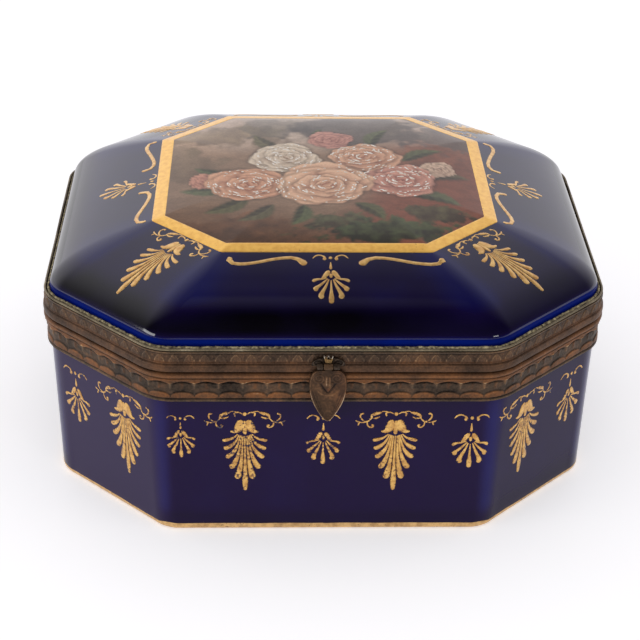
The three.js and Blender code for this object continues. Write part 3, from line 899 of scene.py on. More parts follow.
@dataclass(frozen=True)
class Stroke:
    """One pull of the brush: a smooth line through points, with a width at each, in millimetres, y downwards."""

    points: tuple[tuple[float, float], ...]
    widths: tuple[float, ...]
    worn: float = 0.0

    def mirrored(self) -> "Stroke":
        """The same stroke on the other side."""
        return replace(self, points=tuple((-x, y) for x, y in self.points))

    def sampled(self, steps: int) -> tuple[Array, Array]:
        """Stations along the stroke, close together in both of its round ends.

        The line is a cubic through the points, which passes each along the line of its neighbours. An end is half
        a disc: the station at r(1 - cos a) from the end has the full width there times sin a.

        Args:
            steps: number of stations between the ends.

        Returns:
            steps + 10 points, and their widths.
        """
        knots = np.array(self.points, float)
        padded = np.concatenate([2 * knots[:1] - knots[1:2], knots, 2 * knots[-1:] - knots[-2:-1]])
        fine = np.linspace(0, len(knots) - 1, 16 * len(knots))
        i = np.minimum(fine.astype(int), len(knots) - 2)
        t = (fine - i)[:, None]
        a, b, c, d = (padded[i + k] for k in range(4))
        line = 0.5 * (2 * b + (c - a) * t + (2 * a - 5 * b + 4 * c - d) * t**2 + (3 * b - a - 3 * c + d) * t**3)
        walked = np.concatenate([[0], np.cumsum(np.linalg.norm(np.diff(line, axis=0), axis=1))])
        length = walked[-1]
        turn = np.linspace(0.16, np.pi / 2, 5)
        first, last = (min(width / 2, 0.48 * length) for width in (self.widths[0], self.widths[-1]))
        start, end = first * (1 - np.cos(turn)), length - last * (1 - np.cos(turn[::-1]))
        between = np.linspace(first, length - last, steps + 2)[1:-1]
        place = np.concatenate([start, between, end])
        taper = np.concatenate([np.sin(turn), np.ones(steps), np.sin(turn[::-1])])
        width = np.interp(np.interp(place, walked, fine), np.arange(len(knots)), self.widths) * taper
        return np.stack([np.interp(place, walked, line[:, k]) for k in range(2)], axis=1), width


def leaf(tip: tuple[float, float], start: tuple[float, float], width: float, end: float = 1.0) -> Stroke:
    """A palmette's leaf: it leaves the calyx thin and steep, bends outwards late, and ends broad and round.

    Args:
        tip, start: its two ends.
        width: its greatest width.
        end: how broad its tip is, as a share of that.

    Returns:
        The stroke.
    """
    (x0, y0), (x1, y1) = start, tip
    bend = (x0 + (x1 - x0) * 0.26, y0 + (y1 - y0) * 0.52)
    late = (x0 + (x1 - x0) * 0.62, y0 + (y1 - y0) * 0.83)
    return Stroke((start, bend, late, tip), (0.5, 0.42 * width + 0.2, 0.92 * width, width * end))


def dot(x: float, y: float, width: float, length: float) -> Stroke:
    """A round or oval touch of the brush."""
    half = max(length, width) / 2
    return Stroke(((x, y - half), (x, y), (x, y + half)), (width, width, width))


@dataclass(frozen=True)
class Motif:
    """Ornament made of strokes, those of its right half and those on its middle line."""

    halves: tuple[Stroke, ...]
    middle: tuple[Stroke, ...] = ()
    both: bool = True

    def strokes(self) -> list[Stroke]:
        """Every stroke, the right half mirrored to the left."""
        left = [s.mirrored() for s in self.halves] if self.both else []
        return [*self.halves, *left, *self.middle]


LARGE_PALMETTE = Motif(
    halves=(
        leaf((8.5, 12.2), (2.6, 9.2), 1.8),
        leaf((8.0, 16.1), (2.1, 9.4), 2.1),
        leaf((7.2, 20.3), (1.6, 9.6), 2.3),
        leaf((5.6, 25.3), (1.2, 9.8), 2.5),
        leaf((3.2, 30.3), (0.7, 10.0), 2.7),
        Stroke(((1.5, 2.6), (1.7, 4.4), (2.2, 6.3), (3.7, 7.9), (5.5, 8.0)), (2.2, 3.3, 3.8, 2.1, 0.6)),
        Stroke(((0.9, 0.0), (2.3, -0.8), (3.8, -0.4), (3.6, 1.1)), (0.4, 0.7, 0.8, 0.7), 0.5),
        Stroke(((3.0, -1.0), (5.0, -1.2), (5.8, -0.4)), (0.4, 0.5, 0.4), 0.6),
        Stroke(((5.6, -0.8), (7.1, -0.3), (8.9, 0.6), (9.5, 2.0)), (0.7, 1.7, 1.4, 0.4), 0.4),
        Stroke(((6.1, 1.2), (7.6, 1.9), (9.1, 1.9)), (0.5, 1.0, 0.4), 0.6),
        Stroke(
            ((8.9, 1.4), (10.5, 3.3), (12.1, 3.2), (13.4, 1.6), (13.3, 0.0), (12.1, -0.2)),
            (0.5, 0.7, 0.7, 0.7, 0.8, 1.3), 0.6,
        ),
        Stroke(((10.9, 3.6), (12.7, 3.9), (14.4, 3.5), (15.3, 2.9)), (0.5, 0.6, 0.8, 0.4), 0.7),
        Stroke(((13.7, 3.8), (14.1, 4.6), (14.3, 5.3)), (0.7, 0.6, 0.4), 0.7),
        Stroke(((10.9, 3.6), (10.6, 5.3), (9.3, 6.2), (8.5, 5.5), (9.3, 4.8)), (0.5, 0.7, 0.8, 1.0, 1.1), 0.5),
    ),
    middle=(
        leaf((0.0, 35.8), (0.0, 10.0), 2.7, 0.5), Stroke(((0.0, 3.0), (0.0, 6.2), (0.0, 9.4)), (0.8, 2.0, 1.4)),
        dot(0.0, 0.0, 1.6, 1.7),
    ),
)

SMALL_PALMETTE = Motif(
    halves=(
        Stroke(((0.8, 11.6), (2.0, 15.0), (3.2, 17.6), (3.9, 19.6), (3.0, 20.7)), (0.5, 1.1, 1.5, 2.2, 2.6)),
        Stroke(((1.2, 11.2), (2.9, 13.2), (4.6, 14.9), (5.9, 16.2), (5.0, 16.9)), (0.5, 1.0, 1.3, 2.1, 2.4)),
        Stroke(((1.6, 10.8), (3.6, 11.4), (5.2, 11.6), (6.4, 12.2), (6.2, 12.9)), (0.6, 0.9, 1.1, 1.7, 2.0)),
        Stroke(((0.7, 7.0), (1.5, 8.6), (2.7, 10.3), (3.6, 11.0)), (1.5, 2.2, 1.5, 0.5)),
        Stroke(
            ((2.9, 1.0), (2.2, 0.4), (2.6, -0.8), (4.2, -1.5), (5.6, -1.1), (6.8, 0.3)),
            (1.7, 1.5, 0.8, 0.7, 0.8, 0.4), 0.3,
        ),
    ),
    middle=(
        Stroke(((0.0, 12.0), (0.0, 17.0), (0.0, 20.5), (0.0, 23.2)), (0.4, 1.0, 2.1, 1.9)),
        Stroke(((0.0, 2.4), (0.0, 4.0), (0.0, 5.2), (0.0, 6.3)), (0.3, 0.8, 1.2, 0.9)),
        Stroke(((0.0, 8.6), (0.0, 9.7), (0.0, 10.8)), (1.3, 1.3, 0.9)), dot(0.0, 0.0, 1.4, 1.5),
    ),
)

SCROLL_PAIR = Motif(
    halves=(
        Stroke(
            (
                (9.6, 6.4), (10.3, 5.2), (11.6, 3.8), (14.2, 2.6), (20.0, 3.2), (27.5, 5.2), (33.0, 5.9), (36.2, 5.2),
                (37.0, 3.8), (35.8, 2.9),
            ),
            (2.9, 2.8, 2.0, 1.6, 1.5, 1.5, 1.6, 1.8, 2.2, 2.8),
        ),
    ),
)

SIDE_SCROLL_PAIR = Motif(
    halves=(
        Stroke(
            (
                (10.4, 7.2), (10.0, 4.6), (12.0, 2.7), (16.0, 2.2), (23.0, 3.9), (30.5, 6.3), (34.8, 6.2), (37.0, 4.3),
                (36.0, 2.4),
            ),
            (2.2, 2.0, 1.8, 1.7, 1.6, 1.8, 1.8, 1.7, 2.0),
        ),
    ),
)


@dataclass(frozen=True)
class Laid:
    """A motif laid on a surface, by a function that turns its own places to places on the casket."""

    motif: Motif
    place: Placer
    size: float = 1.0
    worn: float = 0.0


@dataclass(frozen=True)
class GiltWork:
    """Gilding of many motifs in one piece: each stroke is a low bead with a rounded back and a flat underside."""

    name: str
    body: Body
    finish: Finish
    bead_height: float = 0.13
    steps: int = 10

    def build(self, laid: Sequence[Laid]) -> Piece:
        """Makes the beads.

        Across a stroke, a bead's points lie at shares of its half width, with heights along half an ellipse.

        Args:
            laid: motifs with their places.

        Returns:
            The piece.
        """
        across = np.array([-1.0, -0.6, 0.0, 0.6, 1.0, 0.0])
        high = np.array([0.0, 0.8, 1.0, 0.8, 0.0, -0.3])
        beads, worn = [], []
        for item in laid:
            sampled = [s.sampled(self.steps) for s in item.motif.strokes()]
            line = np.stack([s[0] for s in sampled]) * item.size
            half = np.stack([s[1] for s in sampled]) * item.size / 2
            ahead = np.gradient(line, axis=1)
            ahead /= np.maximum(np.linalg.norm(ahead, axis=-1, keepdims=True), 1e-9)
            side = np.stack([-ahead[..., 1], ahead[..., 0]], axis=-1)
            flat = line[:, :, None] + side[:, :, None] * (half[..., None] * across)[..., None]
            lift = self.bead_height * np.minimum(half / 0.5, 1)[..., None] * high
            beads.append(item.place(flat[..., 0], flat[..., 1], lift))
            worn.append(np.array([s.worn for s in item.motif.strokes()]) + item.worn)
        points = np.concatenate(beads)
        count, stations, ring = points.shape[:3]
        base = (np.arange(count) * stations * ring)[:, None, None]
        quads = (grid_faces(stations, ring)[None] + base).reshape(-1, 4)
        first = np.arange(ring)[None] + base[:, 0]
        last = first[:, ::-1] + (stations - 1) * ring
        edge = across**4 + np.concatenate(worn)[:, None, None] + np.zeros((count, stations, 1))
        return make_piece(
            self.name, points.reshape(-1, 3), [quads[:, ::-1], first, last], [self.finish], self.body, Slot.PORCELAIN,
            values={"edge": edge},
        )


# Painted panel.


def blended(under: Array, over: Array, cover: Array) -> Array:
    """Colours of one layer of paint laid over another, by how much it covers."""
    return under * (1 - cover[..., None]) + over * cover[..., None]


def toned(dark: str, pale: str, light: Array) -> Array:
    """Linear colours between a dark and a pale one."""
    share = np.clip(light, 0, 1)[..., None]
    return np.array(linear(dark)[:3]) * (1 - share) + np.array(linear(pale)[:3]) * share


@dataclass(frozen=True)
class Rose:
    """A painted garden rose: its place, its size, and its shaded and lit colours."""

    x: float
    y: float
    radius: float
    shaded: str
    lit: str
    turn: float = 0.0
    squash: float = 1.12

    def petals(self) -> Array:
        """Lays out the petals in six rounds, the outer ones first.

        Returns:
            Rows of x, y, direction and size.
        """
        rows = []
        for k, (reach, count, size) in enumerate(
            ((0.6, 7, 0.5), (0.46, 5, 0.45), (0.31, 5, 0.36), (0.18, 4, 0.27), (0.08, 3, 0.18), (0.02, 2, 0.11))
        ):
            number = np.arange(count)
            angle = self.turn + TAU * number / count + 1.7 * k + 0.3 * np.sin(5.0 * number + 3 * self.turn)
            spread = self.radius * reach * (1 + 0.16 * np.sin(3.7 * number + self.turn))
            x, y = self.x + spread * np.cos(angle), self.y + spread * np.sin(angle) / self.squash
            rows.append(np.stack([x, y, angle, self.radius * size * (1 + 0.17 * np.sin(7.0 * number + k))], axis=1))
        return np.concatenate(rows)

    def paint(self, x: Array, y: Array, under: Array) -> Array:
        """Lays the rose over what is painted already, petal by petal.

        A petal is an oval with a wavy edge, round its own place. It is dark at its root and pale towards its outer
        edge, which carries a fine lit line, and it throws a soft shadow on what lies under it.

        Args:
            x, y: places on the panel.
            under: colours painted so far.

        Returns:
            Colours with the rose on them.
        """
        painted = under
        side = ((x - self.x) * -0.45 + (y - self.y) * 0.75) / self.radius
        for number, (px, py, facing, size) in enumerate(self.petals()):
            dx, dy = x - px, (y - py) * self.squash
            u = (dx * np.cos(facing) + dy * np.sin(facing)) / size
            v = (dy * np.cos(facing) - dx * np.sin(facing)) / size / 1.25
            bearing = np.arctan2(v, u)
            frill = 0.06 * np.cos(5 * bearing + number) + 0.04 * np.cos(9 * bearing - 2 * number)
            reach = np.hypot(u, v) / (1 + frill)
            light = 0.04 + 0.7 * smooth_step(u, -1.0, 0.8) + 0.09 * np.sin(number * 2.4)
            light += 0.06 * np.cos(7 * v + 2 * u * v + number) + 0.22 * side
            light += 0.22 * bump(reach, 0.88, 0.12) * smooth_step(u, -0.2, 0.6)
            shadow = 0.34 * (1 - smooth_step(reach, 0.92, 1.3))
            painted = painted * (1 - shadow)[..., None]
            painted = blended(painted, toned(self.shaded, self.lit, light), 1 - smooth_step(reach, 0.92, 1.04))
        return painted

    def beads(self) -> Array:
        """Lays out enamel touches along the outer edges of the petals, with gaps.

        Returns:
            Rows of x, y and direction.
        """
        petals = self.petals()
        turn = np.linspace(-1.25, 1.25, 12)
        px, py, facing, size = (petals[:, k, None] for k in range(4))
        number = np.arange(len(petals))[:, None]
        reach = size * (0.84 + 0.1 * np.sin(11 * turn + 5 * number))
        u, v = reach * np.cos(turn), 1.25 * reach * np.sin(turn)
        x = px + u * np.cos(facing) - v * np.sin(facing)
        y = py + (u * np.sin(facing) + v * np.cos(facing)) / self.squash
        along = facing + turn + np.pi / 2
        keep = np.sin(2.9 * turn + 2.3 * number + self.turn) + 0.5 * np.sin(8.3 * turn + number) > 0.3
        keep &= size > 0.15 * self.radius
        return np.stack([x[keep], y[keep], along[keep]], axis=1)


@dataclass(frozen=True)
class PaintedLeaf:
    """A painted leaf, a lens round a straight vein: its place, direction in degrees, length and width."""

    x: float
    y: float
    facing: float
    length: float
    width: float
    dark: str = "#262c1c"
    light: str = "#66704a"

    def paint(self, x: Array, y: Array, under: Array) -> Array:
        """Lays the leaf over what is painted already: one side of its vein darker, with fine side veins.

        Args:
            x, y: places on the panel.
            under: colours painted so far.

        Returns:
            Colours with the leaf on them.
        """
        angle = np.radians(self.facing)
        bow = 0.12 * self.length
        u = ((x - self.x) * np.cos(angle) + (y - self.y) * np.sin(angle)) / self.length
        v = -(x - self.x) * np.sin(angle) + (y - self.y) * np.cos(angle)
        inside = np.clip(u, 0, 1)
        v = (v - bow * np.sin(np.pi * inside)) / self.width
        edge = 0.5 * np.sin(np.pi * inside**0.8) ** 0.8 * (1 + 0.06 * np.cos(44 * u))
        cover = 0.92 * (1 - smooth_step(np.abs(v) - edge, -0.16, 0.08)) * (u > 0) * (u < 1)
        light = 0.36 + 0.24 * np.tanh(9 * v) + 0.1 * np.cos(u * 30 - np.abs(v) * 12) + 0.3 * bump(v, 0, 0.06)
        return blended(under, toned(self.dark, self.light, light + 0.3 * (u - 0.5)), cover)


@dataclass(frozen=True)
class Foliage:
    """A mass of painted foliage with a broken edge, lit from above: its middle, half sizes and colours."""

    x: float
    y: float
    half_width: float
    half_height: float
    dark: str
    light: str
    seed: int
    solid: float = 1.0
    grain: float = 2.4

    def paint(self, x: Array, y: Array, under: Array) -> Array:
        """Lays the mass over what is painted already: an oval whose edge is moved by noise of three sizes.

        Args:
            x, y: places on the panel.
            under: colours painted so far.

        Returns:
            Colours with the foliage on them.
        """
        u, v = (x - self.x) / self.half_width, (y - self.y) / self.half_height
        coarse, middling, fine, broad, narrow = (
            lattice_noise(x, y, size * self.grain, self.seed + number)
            for size, number in ((3, 0), (1, 1), (0.45, 2), (1.6, 3), (0.6, 0))
        )
        rough = 0.8 * coarse + 0.5 * middling + (0.25 * fine - 0.78)
        cover = smooth_step(1 - np.hypot(u, v) + rough, 0.0, 0.3) * self.solid
        tufts = broad + 0.5 * narrow
        return blended(under, toned(self.dark, self.light, 0.75 * tufts - 0.25 + 0.35 * v), cover)


@dataclass(frozen=True)
class Painting:
    """A cut spray of garden roses, laid on the ground of a hazy park: pale sky, brown trees, red-brown earth."""

    sky: str = "#bda996"
    glow: str = "#d2ae90"
    haze: str = "#8c7159"
    earth: str = "#7d4a36"
    shade: str = "#64452f"
    scenery: tuple[Foliage, ...] = (
        Foliage(-44, 34, 26, 16, "#6b5a45", "#a8916c", 70, 0.75, 4.5),
        Foliage(-20, 42, 22, 15, "#57504a", "#8b8068", 74, 0.7, 4.0),
        Foliage(20, 44, 34, 20, "#4a4542", "#736a60", 78, 0.8, 5.0),
        Foliage(52, 36, 24, 20, "#59504a", "#85786a", 82, 0.8, 4.5),
        Foliage(48, 8, 24, 17, "#643c2e", "#9a6248", 86, 0.75, 4.0),
        Foliage(-54, 8, 22, 16, "#63513f", "#8c775c", 90, 0.7, 5.0),
        Foliage(-36, -48, 30, 11, "#4a3425", "#845a3c", 94, 0.75, 3.2),
        Foliage(22, -50, 32, 10, "#23271a", "#55603c", 98, 0.95, 2.4),
        Foliage(46, -36, 14, 8, "#2c2c1e", "#5f5f40", 102, 0.85, 2.2),
        Foliage(4, -42, 16, 6, "#2b2e20", "#626c48", 106, 0.8, 2.0),
    )
    leaves: tuple[PaintedLeaf, ...] = (
        PaintedLeaf(-36, -14, 186, 22, 9), PaintedLeaf(-33, -4, 158, 21, 8),
        PaintedLeaf(-30, -24, 214, 21, 9, "#2e2c1c", "#6a6844"),
        PaintedLeaf(-16, 20, 128, 20, 8, "#333020", "#77704c"), PaintedLeaf(2, 26, 98, 17, 7),
        PaintedLeaf(20, 24, 64, 20, 8, "#2e3020", "#70754e"), PaintedLeaf(33, 10, 32, 21, 8),
        PaintedLeaf(40, -6, 6, 20, 8, "#332c1e", "#74684a"), PaintedLeaf(34, -20, -24, 22, 9),
        PaintedLeaf(12, -28, -52, 18, 8, "#2b2c1c", "#666a44"), PaintedLeaf(-8, -30, -108, 17, 8),
        PaintedLeaf(-20, -30, -138, 19, 8, "#2e2a1c", "#6d6848"),
    )
    roses: tuple[Rose, ...] = (
        Rose(-47, -9, 6.5, "#7a3f33", "#cf957c", 0.5), Rose(47, 3, 7.0, "#7e5a48", "#d9b99c", 1.4),
        Rose(4, 31, 8.5, "#7e463b", "#cf9683", 2.1), Rose(-30, -12, 14.5, "#8a4a34", "#dda884", 0.9),
        Rose(31, -7, 14.0, "#86493a", "#d79c84", 2.6), Rose(-15, 13, 13.0, "#927258", "#e2cfb4", 1.7),
        Rose(17, 14, 13.0, "#90563f", "#dcab88", 3.3), Rose(1, -12, 18.0, "#965a42", "#e4b894", 0.2),
    )

    def colours(self, x: Array, y: Array) -> Array:
        """Linear colours of the painting at places on the panel.

        Args:
            x, y: places in millimetres from the panel's centre.

        Returns:
            Colours with a last axis of 3.
        """
        tint = {k: np.array(linear(getattr(self, k))[:3]) for k in ("sky", "glow", "haze", "earth", "shade")}
        drift = 26 * (lattice_noise(x, y, 31, 1) - 0.5) + 9 * (lattice_noise(x, y, 11, 2) - 0.5)
        back = smooth_step(y + drift, 18, 54)
        front = smooth_step(-y + drift, 16, 60)
        right = smooth_step(x + drift * 0.7 - y * 0.3, 4, 46)
        ground = tint["haze"] * (1 - right)[..., None] + tint["earth"] * right[..., None]
        ground = blended(ground, tint["sky"] + 0 * ground, back)
        ground = blended(ground, tint["glow"] + 0 * ground, 0.8 * bump(np.hypot(x + 60, (y - 34) * 1.6), 0, 26))
        low = tint["shade"] * (1 - right)[..., None] + tint["earth"] * right[..., None]
        ground = blended(ground, low, front)
        ground *= (0.86 + 0.28 * lattice_noise(x + y * 0.4, y * 2.2, 5.5, 6))[..., None]
        ground *= (0.93 + 0.14 * lattice_noise(x * 0.8, y * 1.9, 1.7, 7))[..., None]
        for piece in (*self.scenery, *self.leaves, *self.roses):
            ground = piece.paint(x, y, ground)
        return ground


# Sub-assemblies.


@dataclass(frozen=True)
class PorcelainBody:
    """The body: outside wall, rounded foot edge, foot ring, and the white inside."""

    surface: BodySurface = BodySurface()
    wall: float = 4.5
    floor: float = 5.0
    foot_edge: float = 1.8
    foot_width: float = 6.0
    recess: float = 1.2
    fillet: float = 4.0
    lip: float = 0.8
    columns: int = 480
    foot_columns: int = 720
    dot_heights: tuple[float, float] = (55.1, 53.2)
    sprays: tuple[tuple[float, bool, float], ...] = (
        (25.5, True, 1.0), (54.9, False, 1.0), (82.0, True, 1.03), (109.4, False, 1.0), (150.7, True, 1.0),
    )

    def section(self) -> tuple[Array, Array, Array]:
        """The wall's section from the underside out, up, over the lip and down inside.

        Returns:
            Insets from the outside surface, heights, and the BodyLook of each step.
        """
        turn = np.linspace(0, np.pi / 2, 6)
        foot_in = self.foot_edge * (1 - np.sin(turn))
        foot_z = self.foot_edge * (1 - np.cos(turn))
        up = np.linspace(self.foot_edge, self.surface.height - self.lip, 26)[1:]
        over = np.linspace(0, np.pi / 2, 4)[1:]
        down = np.linspace(self.surface.height - 0.6, self.floor + self.fillet, 12)
        bend = np.linspace(0, np.pi / 2, 7)[1:]
        inset = [
            np.array([self.foot_width + self.recess, self.foot_width]), foot_in, 0 * up, self.lip * (1 - np.cos(over)),
            np.array([self.wall - 0.6]), 0 * down + self.wall, self.wall + self.fillet * (1 - np.cos(bend)),
        ]
        height = [
            np.array([self.recess, 0.0]), foot_z, up, self.surface.height - self.lip * (1 - np.sin(over)),
            np.array([self.surface.height]), down, self.floor + self.fillet * (1 - np.sin(bend)),
        ]
        inset_all, height_all = np.concatenate(inset), np.concatenate(height)
        look = np.full(len(inset_all) - 1, BodyLook.GLAZE)
        look[: 2 + len(foot_in) - 3] = BodyLook.BISQUE
        look[2 + len(foot_in) + len(up) :] = BodyLook.WHITE
        return inset_all, height_all, look

    def build(self) -> Piece:
        """Makes the porcelain of the body, its glaze painted lighter blue along the corners as a highlight, with a
        painted grey reflection on the left slanted walls.

        Returns:
            The piece.
        """
        inset, height, look = self.section()
        along = np.arange(self.columns) * self.surface.plan.length() / self.columns
        rows = self.surface.place(*np.broadcast_arrays(along, height[:, None], -inset[:, None]))
        shares = np.array([0.8, 0.5, 0.25])[:, None, None]
        under = rows[0] * np.concatenate([shares[::-1], shares[::-1], shares[::-1] ** 0], axis=2)
        inner = rows[-1] * np.concatenate([shares, shares, shares**0], axis=2)
        rings = np.concatenate([under, rows, inner])
        points, faces = closed_rings(rings, np.array([0, 0, self.recess]), np.array([0, 0, self.floor]))
        look_rows = np.concatenate([[BodyLook.BISQUE] * 3, look, [BodyLook.WHITE] * 3])
        fans = np.repeat([BodyLook.BISQUE, BodyLook.WHITE], self.columns)
        face_look = np.concatenate([np.repeat(look_rows, self.columns), fans])
        _, facing = self.surface.plan.trace(along)
        turn = np.degrees(np.arctan2(np.abs(facing[:, 1]), np.abs(facing[:, 0])))
        slant = 90 - CORNER_ANGLE
        off = np.minimum.reduce([np.abs(turn), np.abs(turn - slant), np.abs(turn - 90)])
        # Painted highlight: the thin-glaze value is higher round the corners and fades towards the top. It is lower
        # towards the foot, except for a lighter band just above it.
        edge = 0.35 + 0.5 * smooth_step(off, 1.0, 20.0)
        column = np.broadcast_to(edge, (len(rings), self.columns)).copy()
        foot = bump(rings[:, :, 2], 3.6, 2.5) * 0.2
        below = 1 - 0.45 * smooth_step(rings[:, :, 2], 50, 70)
        thin = np.concatenate([(column * below * smooth_step(rings[:, :, 2], 2, 12) + foot).ravel(), [0, 0]])
        # Painted reflection: a grey tint on the left slanted walls, faint on the right ones.
        slanted = bump(turn, slant, 21.0) * np.where(facing[:, 0] < 0, 0.95, 0.12)
        painted_reflection = np.concatenate([np.broadcast_to(slanted, (len(rings), self.columns)).ravel(), [0, 0]])
        return make_piece(
            "glazed_body", points, faces, [BODY_GLAZE, BISQUE, WHITE_GLAZE], Body.BASE, Slot.PORCELAIN,
            ["porcelain_body"], face_look, {"thin": thin, "painted_reflection": painted_reflection},
        )

    def gild(self) -> list[Piece]:
        """Lays large and small palmettes by turns round the wall, and the gilt line along the foot.

        The front is laid out one by one: some palmettes are shifted or smaller, and those towards the left more worn.
        The rest is alike left and right, and front and back.

        Returns:
            The palmettes and the foot line.
        """
        whole = self.surface.plan.length()
        places = [(0.0, False, 0.95), (whole / 2, False, 1.0), (whole / 4, False, 1.0), (-whole / 4, False, 1.0)]
        for at, large, size in self.sprays:
            places += [(side * at, large, size) for side in (-1, 1)]
            places += [(side * (whole / 2 - at), large, size) for side in (-1, 1)]
        by_hand = {
            -25.5: (-5.4, 1.0, 0.5), -54.9: (-0.2, 0.78, 1.0), 0.0: (-1.25, 0.97, 0.3), 25.5: (0.6, 1.0, 0.0),
            -82.0: (0.0, 1.0, 0.3), -109.4: (0.0, 1.0, 0.4),
        }
        laid = []
        for at, large, size in places:
            moved, scaled, worn = by_hand.get(at, (0.0, 1.0, 0.1))

            def place(
                x: Array, y: Array, lift: Array, centre: float = at + moved, top: float = self.dot_heights[not large]
            ) -> Array:
                """Places a motif round the wall at its own distance and height."""
                return self.surface.place(centre + x, top - y, lift)

            laid.append(Laid(LARGE_PALMETTE if large else SMALL_PALMETTE, place, size * scaled, worn))
        return [GiltWork("gilding_on_body", Body.BASE, WORN_GILDING).build(laid), self.foot_line()]

    def foot_line(self) -> Piece:
        """A thin gilt band over the rounded foot edge and the wall above it, wider along the front and back.

        Returns:
            The piece.
        """
        along = np.arange(self.foot_columns) * self.surface.plan.length() / self.foot_columns
        _, facing = self.surface.plan.trace(along)
        straight = smooth_step(np.abs(facing[:, 1]), 0.85, 0.99)
        wander = lattice_noise(along, along * 0, 7.0, 11) * 0.25
        top = 2.3 + 0.8 * straight + wander
        turn = np.linspace(0.2, np.pi / 2, 5)
        inset = np.concatenate([self.foot_edge * (1 - np.sin(turn)), [0, 0, 0]])[:, None] + 0 * along
        low = self.foot_edge * (1 - np.cos(turn))[:, None] + 0 * along
        upper = self.foot_edge + np.array([0.45, 0.9, 1.0])[:, None] * (top - self.foot_edge)
        height = np.concatenate([low, upper])
        lift = np.array([0.0, 0.05, 0.06, 0.06, 0.06, 0.06, 0.05, -0.02])[:, None] + 0 * along
        outer = self.surface.place(along + 0 * height, height, lift - inset)
        back = self.surface.place(along + 0 * height, height, lift * 0 - 0.1 - inset)
        rings = np.concatenate([outer, back[::-1]])
        return make_piece("gilt_foot_line", *hoop(rings), [FOOT_GILDING], Body.BASE, Slot.PORCELAIN)


